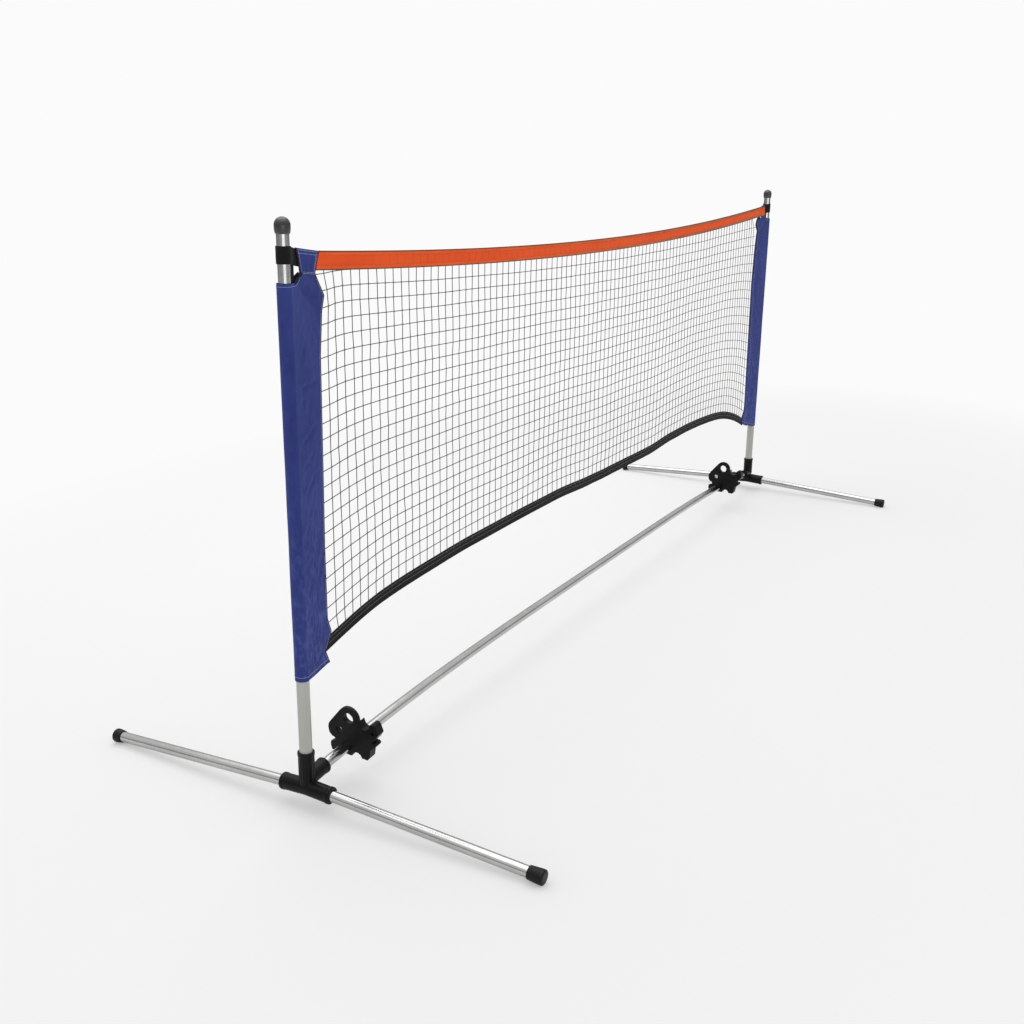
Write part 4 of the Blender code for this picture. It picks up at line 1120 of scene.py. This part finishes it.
def make_strap(end):
    """Webbing looped round the post, whose two ends run on together beside the flap."""
    inner = TUBE_RADIUS + GAP
    beside = 0.0018 + GAP
    within = beside + WEBBING
    loop_size = 0.016
    outer_loop = strap_loop(inner + WEBBING, beside, beside + 2 * WEBBING, 0.034, 0.066)
    inner_loop = strap_loop(inner, within - 0.0002, within + 0.0002, 0.028, 0.032)
    top = STRAP_TOP - STRAP_BOTTOM
    outer_rows = []
    inner_rows = []
    for level in (0.0, 0.0006, 0.006, 0.012, 0.018, 0.024, 0.030, top - 0.0006, top):
        rim_draw = 0.0005 / loop_size if level in (0.0, top) else 0.0
        swell = ripple(0.0003, level * 200.0, ENDS[end], 0.0) / loop_size
        outer_rows.append(strap_row(end, outer_loop, level, 1.0 - rim_draw + swell))
        inner_rows.append(strap_row(end, inner_loop, level, 1.0 + rim_draw))
    rows = outer_rows + inner_rows[::-1]
    points = [point for row in rows for point in row]
    mesh = new_mesh(points, grid_faces(len(rows), len(outer_loop), close_rows=True, close_columns=True))
    add_piece(f"{end}_strap_webbing", mesh, "black_webbing", f"{end}_lift", node=f"{end}_corner_strap")


# Tapes

TOP_TAPE_STEPS = 700
BOTTOM_TAPE_STEPS = 560
# How far the top tape laps over the far flap, and stands forward there
FAR_LAP = 0.022
FAR_LAP_STAND = 0.0056


def top_edge(x):
    return TOP_EDGE_MIDDLE + TOP_EDGE_RISE[end_of(x)] * x * x


def bottom_tape_centre(x):
    drop = BOTTOM_TAPE_DROP[end_of(x)] * (abs(x) / BOTTOM_TAPE_REACH) ** BOTTOM_TAPE_POWER
    return BOTTOM_TAPE_MIDDLE - drop + read_line(BOTTOM_WAVES, x, 0, ease=True)


def tape_end(end, height):
    """Where the top tape stops: at the near flap's edge, and lapped over the far flap."""
    low, high = NECK_RIGHT[end], FLAP_TOP_RIGHT[end]
    edge = between((height - low[1]) / (high[1] - low[1]), low[0], high[0])
    return edge if end == "near" else edge - FAR_LAP


def top_tape_point(share, rise, y):
    """A point of the top tape: share runs along it from -1 to 1, rise up from its lower edge."""
    end = end_of(share)
    level = top_edge(HALF_SPAN - FLAP_TOP_RIGHT["near"][0]) - TOP_TAPE_HEIGHT + rise
    x = share * (HALF_SPAN - tape_end(end, level) - 2 * GAP)
    height = top_edge(x) - TOP_TAPE_HEIGHT + rise
    lap = smooth_step((x - HALF_SPAN + 0.082) / 0.016)
    wave = ripple(0.0012, x * 4.0, 0.0, height * 6.0)
    return Vector((x, y + wave - FAR_LAP_STAND * lap, height))


def bottom_reach(end, rise):
    """The bottom tape's half length, up to the sleeve's edge at this rise."""
    centre = bottom_tape_centre(ENDS[end] * (HALF_SPAN - sleeve_edge(end, 0.36)))
    return HALF_SPAN - sleeve_edge(end, centre - BOTTOM_TAPE_HEIGHT / 2 + rise) - 2 * GAP


def bottom_tape_point(share, rise, y):
    """A point of the bottom tape, by the same three numbers, with its steps closer near both ends."""
    share = math.sin(share * math.pi / 2)
    x = share * bottom_reach(end_of(share), rise)
    height = bottom_tape_centre(x) - BOTTOM_TAPE_HEIGHT / 2 + rise
    return Vector((x, y + ripple(0.0016, x * 5.0, 4.0, height * 8.0), height))


def folded_profile(height, fold, bulge):
    """Half a folded band, from its open edge to its fold: (height from the open edge, half thickness)."""
    after_fold = fold + 0.0015
    profile = [(0.0, TAPE_HALF * 0.7), (0.0008, TAPE_HALF + HEM_RISE), (fold, TAPE_HALF + HEM_RISE),
               (after_fold, TAPE_HALF)]
    for share in (0.35, 0.5, 0.65):
        profile.append((height * share, TAPE_HALF + bulge * math.sin(math.pi * share)))
    profile += [(height - after_fold, TAPE_HALF), (height - fold, TAPE_HALF + HEM_RISE * 0.7),
                (height - 0.0012, TAPE_HALF + HEM_RISE * 0.5), (height - 0.0003, TAPE_HALF * 0.55),
                (height, 0.0)]
    return profile


def both_faces(profile):
    """A closed cross-section, up the front and down the back."""
    return [(rise, -half) for rise, half in profile] + [(rise, half) for rise, half in profile[-2::-1]]


def add_tape(node, finish, rows):
    """A folded band through closed cross-sections."""
    points = [point for row in rows for point in row]
    mesh = new_mesh(points, capped_faces(len(rows), len(rows[0])))
    tape = add_piece(f"{node}_cloth", mesh, finish, NET_BODY, node=node, smooth_angle=60.0)
    return tape


def tape_seams(place, rises, shares):
    """Stitches along a tape at some rises, on its front and its back."""
    lift = TAPE_HALF + HEM_RISE + THREAD_RADIUS * 0.5
    seams = []
    for rise in rises:
        for y in (-lift, lift):
            seams += dashes([place(share, rise, y) for share in shares])
    return seams


def print_through(x):
    """How far the cords inside the top tape press through it, away from the near end."""
    across = ((x / MESH_PITCH) % 1.0 - 0.5) * MESH_PITCH
    return 0.00030 * math.exp(-(across / 0.0015) ** 2) * smooth_step((x + 1.28) / 0.16)


def finish_hems(tape, section):
    """Give the top tape's hems, along both of its edges, their own finish."""
    tape.data.materials.append(FINISHES["tape_hem"])
    count = len(section)
    for index, face in enumerate(tape.data.polygons):
        column = index % count
        rise = (section[column][0] + section[(column + 1) % count][0]) / 2
        if index < TOP_TAPE_STEPS * count and not TAPE_HEM < rise < TOP_TAPE_HEIGHT - TAPE_HEM:
            face.material_index = 1


def make_top_tape():
    section = both_faces(folded_profile(TOP_TAPE_HEIGHT, TAPE_HEM, 0.0002))
    shares = steps_between(-1.0, 1.0, TOP_TAPE_STEPS)
    rows = []
    for share in shares:
        pressed = print_through(top_tape_point(share, 0.0, 0.0).x)
        row = []
        for rise, y in section:
            stand = pressed if 0.0 < rise < TOP_TAPE_HEIGHT * 0.8 else 0.0
            row.append(top_tape_point(share, rise, y + math.copysign(stand, y)))
        rows.append(row)
    tape = add_tape("top_tape", "orange_tape", rows)
    finish_hems(tape, section)
    rims = (0.0004, TOP_TAPE_HEIGHT - 0.0003)
    edges = [[top_tape_point(share, rise, 0.0) for share in shares] for rise in rims]
    add_strands("top_tape_edging", "rust_binding", edges, 10, 0.0015, 0.0018)
    sewn = [0.995 * share for share in shares]
    seams = tape_seams(top_tape_point, (TAPE_HEM, TOP_TAPE_HEIGHT - TAPE_HEM), sewn)
    add_strands("top_tape_stitches", "orange_tape", seams, wide=THREAD_RADIUS * 0.8)


def make_bottom_tape():
    profile = folded_profile(BOTTOM_TAPE_HEIGHT, HEM, 0.0003)
    section = both_faces([(BOTTOM_TAPE_HEIGHT - rise, half) for rise, half in profile])
    shares = steps_between(-1.0, 1.0, BOTTOM_TAPE_STEPS)
    rows = [[bottom_tape_point(share, rise, y) for rise, y in section] for share in shares]
    add_tape("bottom_tape", "black_webbing", rows)
    sewn = [0.998 * share for share in shares]
    seams = tape_seams(bottom_tape_point, (BOTTOM_TAPE_HEIGHT / 2, BOTTOM_TAPE_HEIGHT - HEM), sewn)
    add_strands("bottom_tape_stitches", "grey_thread", seams)


# Net mesh

# How far the upright cords reach into both tapes
TUCK = Z_AXIS * 0.010
# How far the rows hang down where they meet each sleeve
DROOP = {"near": 0.009, "far": 0.002}
# The height at which the sleeves' edges set the mesh's width
WIDTH_HEIGHT = 0.6
KNOT_SIDES = 7


def net_slack(x, height):
    """Where the hung mesh strays from an even grid."""
    side = ripple(0.0024, x * 5.0, 3.0, height * 5.0)
    depth = ripple(0.0030, x * 3.0, 7.0, height * 3.0)
    rise = ripple(0.0022, x * 5.0, 11.0, height * 5.0)
    uneven = ripple(0.0030, x * 23.0, 5.0, height * 25.0)
    return Vector((side + uneven, depth, rise))


def net_node(column, row, columns, rows):
    """A knot of the mesh: row 0 is in the bottom tape and the last row in the top tape."""
    share = between(column / columns, -1.0, 1.0)
    end = end_of(share)
    up = row / rows
    reach = HALF_SPAN - sleeve_edge(end, WIDTH_HEIGHT) - 0.001
    distance = reach * (1.0 - abs(share))
    near_sleeve = math.exp(-distance / 0.10)
    packed = distance * (1.0 - 0.10 * near_sleeve)
    x = math.copysign(reach - packed, share)
    low = bottom_tape_centre(x) + BOTTOM_TAPE_HEIGHT / 2
    high = top_edge(x) - TOP_TAPE_HEIGHT
    height = between(up, low, high)
    edge_shift = sleeve_edge(end, height) - sleeve_edge(end, WIDTH_HEIGHT)
    lean = 0.004 * (1.0 - up) * smooth_step(distance / 0.03) * near_sleeve
    x -= math.copysign(edge_shift * math.exp(-distance / 0.05) + lean, share)
    droop = DROOP[end] * math.exp(-(distance / 0.060) ** 2) * between(up, 0.3, 1.0)
    free = smooth_step(distance / 0.06) * smooth_step(min(up, 1.0 - up) * 12.0)
    return Vector((x, 0.0, height - droop)) + net_slack(x, height) * free


def knot_points(centre, turn):
    """A small tied lump: three rings between two poles."""
    points = [centre - Z_AXIS * KNOT_RADIUS]
    for level, share in ((-0.55, 0.80), (0.0, 1.0), (0.55, 0.80)):
        size = share * KNOT_RADIUS
        for step in range(KNOT_SIDES):
            angle = 2.0 * math.pi * step / KNOT_SIDES + turn + level
            around = Vector((size * math.cos(angle), 0.85 * size * math.sin(angle), level * KNOT_RADIUS))
            points.append(centre + around)
    return points + [centre + Z_AXIS * KNOT_RADIUS]


def knot_faces(first):
    faces = grid_faces(3, KNOT_SIDES, close_columns=True, first=first + 1)
    top = first + 3 * KNOT_SIDES + 1
    for step in range(KNOT_SIDES):
        after = (step + 1) % KNOT_SIDES
        faces.append([first, first + 1 + after, first + 1 + step])
        faces.append([top, top - KNOT_SIDES + step, top - KNOT_SIDES + after])
    return faces


def make_net():
    width = 2.0 * (HALF_SPAN - sleeve_edge("near", WIDTH_HEIGHT))
    columns = round(width / MESH_PITCH)
    rows = round((top_edge(0.0) - TOP_TAPE_HEIGHT - bottom_tape_centre(0.0)) / MESH_PITCH)
    nodes = []
    for column in range(columns + 1):
        nodes.append([net_node(column, row, columns, rows) for row in range(rows + 1)])
    paths = [[column[0] - TUCK, *column, column[-1] + TUCK] for column in nodes[1:-1]]
    paths += [[column[row] for column in nodes] for row in range(1, rows)]
    top_row = [column[rows] for column in nodes]
    paths += [top_row[:5], top_row[-5:]]
    points = []
    faces = []
    for column in range(1, columns):
        for row in range(1, rows):
            faces += knot_faces(len(points))
            points += knot_points(nodes[column][row], (column * 7 + row * 3) % 11)
    mesh = join_meshes([strand_mesh(paths, 6, CORD_RADIUS), new_mesh(points, faces)])
    add_piece("net_cords", mesh, "net_cord", NET_BODY, node="net_mesh", smooth_angle=70.0)


# Studio and camera

FOCAL_PIXELS = 1161.88
FRAME_PIXELS = 1024.0
SENSOR = 36.0
CAMERA_PLACE = Vector((-3.24616, -1.46669, 1.35337))
CAMERA_AZIMUTH = -1.06495
CAMERA_ELEVATION = 0.29485
CAMERA_ROLL = -0.01134

BACKGROUND = 0.965
FLOOR_COLOUR = 0.965
FLOOR_HALF = 9.0
# Share and brightness of the fill that keeps the shadows on the floor pale
FLOOR_GLOW = 0.35
GLOW_LEVEL = 0.87
SKY_LEVEL = 0.80
CAMERA_SIDE = (-0.64, -0.77, 0.0)
# What the tubes mirror: brightness by the height of the direction, from -1 to 1
BANDS = [(-1.0, 0.55), (0.00, 0.55), (0.015, 0.10), (0.050, 0.10), (0.080, 0.45), (0.200, 0.55),
         (0.235, 0.20), (0.275, 0.20), (0.310, 0.75), (0.720, 0.85), (0.820, 1.95), (1.0, 1.95)]
# Near the level a wall shows instead, by how far the direction faces the camera's side
LEVEL_BAND = [(-1.0, 0.0), (-0.20, 0.0), (-0.16, 1.0), (0.02, 1.0), (0.06, 0.0)]
WALL = [(-1.0, 0.22), (0.0, 0.26), (0.60, 0.38), (0.88, 0.48), (0.93, 0.80), (0.95, 2.3), (1.0, 2.3)]


def make_camera():
    azimuth, elevation = CAMERA_AZIMUTH, CAMERA_ELEVATION
    ahead = Vector((-math.sin(azimuth) * math.cos(elevation), math.cos(azimuth) * math.cos(elevation),
                    -math.sin(elevation)))
    right = Vector((math.cos(azimuth), math.sin(azimuth), 0.0))
    down = ahead.cross(right)
    turn, tilt = math.cos(CAMERA_ROLL), math.sin(CAMERA_ROLL)
    image_right = right * turn + down * tilt
    image_down = down * turn - right * tilt
    data = bpy.data.cameras.new("camera")
    data.sensor_width = SENSOR
    data.lens = FOCAL_PIXELS * SENSOR / FRAME_PIXELS
    data.clip_end = 100.0
    camera = link_object("camera", data)
    axes = Matrix((image_right, -image_down, -ahead)).transposed()
    camera.matrix_world = Matrix.Translation(CAMERA_PLACE) @ axes.to_4x4()
    bpy.context.scene.camera = camera


def make_world():
    """White for the camera, a soft white room for diffuse light, banded for reflections."""
    world = bpy.data.worlds.new("studio")
    bpy.context.scene.world = world
    tree = NodeTree(world)
    path = tree.add("LightPath", {}).outputs
    direction = tree.add("TexCoord", {}).outputs["Generated"]
    height = tree.add("SeparateXYZ", {"Vector": direction}).outputs["Z"]
    facing = tree.add("VectorMath", {0: direction, 1: CAMERA_SIDE}, operation="DOT_PRODUCT").outputs["Value"]
    mirror = tree.blend(tree.ramp(height, LEVEL_BAND), tree.ramp(height, BANDS), tree.ramp(facing, WALL))
    unseen = tree.blend(path["Is Glossy Ray"], grey(SKY_LEVEL), mirror)
    seen = tree.blend(path["Is Camera Ray"], unseen, grey(BACKGROUND))
    tree.feed(tree.nodes["Background"].inputs["Color"], seen)


def floor_finish():
    """A pale floor that fades into the white background away from the object."""
    surface = Surface("floor_finish", 0.9, Specular_IOR_Level=0.0)
    surface.set("Base Color", grey(FLOOR_COLOUR))
    place = surface.stretched((0.62, 1.0, 1.0))
    distance = surface.add("VectorMath", {0: place}, operation="LENGTH").outputs["Value"]
    fade = surface.spread(distance, 0.0, 1.0, 1.2, 2.6)
    seen = surface.add("LightPath", {}).outputs["Is Camera Ray"]
    share = surface.math("MULTIPLY", surface.spread(fade, FLOOR_GLOW, 1.0, 0.0, 1.0), seen)
    glow = surface.add("Emission", {"Color": surface.blend(fade, grey(GLOW_LEVEL), grey(BACKGROUND))})
    shaders = {1: surface.shader.outputs["BSDF"], 2: glow.outputs["Emission"]}
    mix = surface.add("MixShader", {"Fac": share, **shaders})
    surface.feed(surface.nodes["Material Output"].inputs["Surface"], mix.outputs["Shader"])
    return surface.material


def make_floor():
    size = FLOOR_HALF
    corners = [(-size, -size, -GAP), (size, -size, -GAP), (size, size, -GAP), (-size, size, -GAP)]
    mesh = new_mesh(corners, [[0, 1, 2, 3]])
    mesh.materials.append(floor_finish())
    link_object("studio_floor", mesh)


def make_light():
    """One wide soft lamp overhead, a little behind the object."""
    place = Vector((0.3, 1.4, 4.2))
    target = Vector((0.0, 0.0, 0.3))
    data = bpy.data.lights.new("overhead", "AREA")
    data.shape = "DISK"
    data.size = 4.4
    data.energy = 55.0
    light = link_object("overhead", data)
    aim = (place - target).to_track_quat("Z", "Y").to_matrix().to_4x4()
    light.matrix_world = Matrix.Translation(place) @ aim


def main():
    make_camera()
    make_finishes()
    make_feet()
    make_bar()
    make_posts()
    for end in ENDS:
        make_base_tee(end)
        make_storage_clip(end)
        make_sleeve(end)
        make_flap(end)
        make_strap(end)
    dress_hidden_nodes()
    make_top_tape()
    make_bottom_tape()
    make_net()
    make_world()
    make_floor()
    make_light()
    bpy.context.scene.view_settings.view_transform = "Standard"


main()
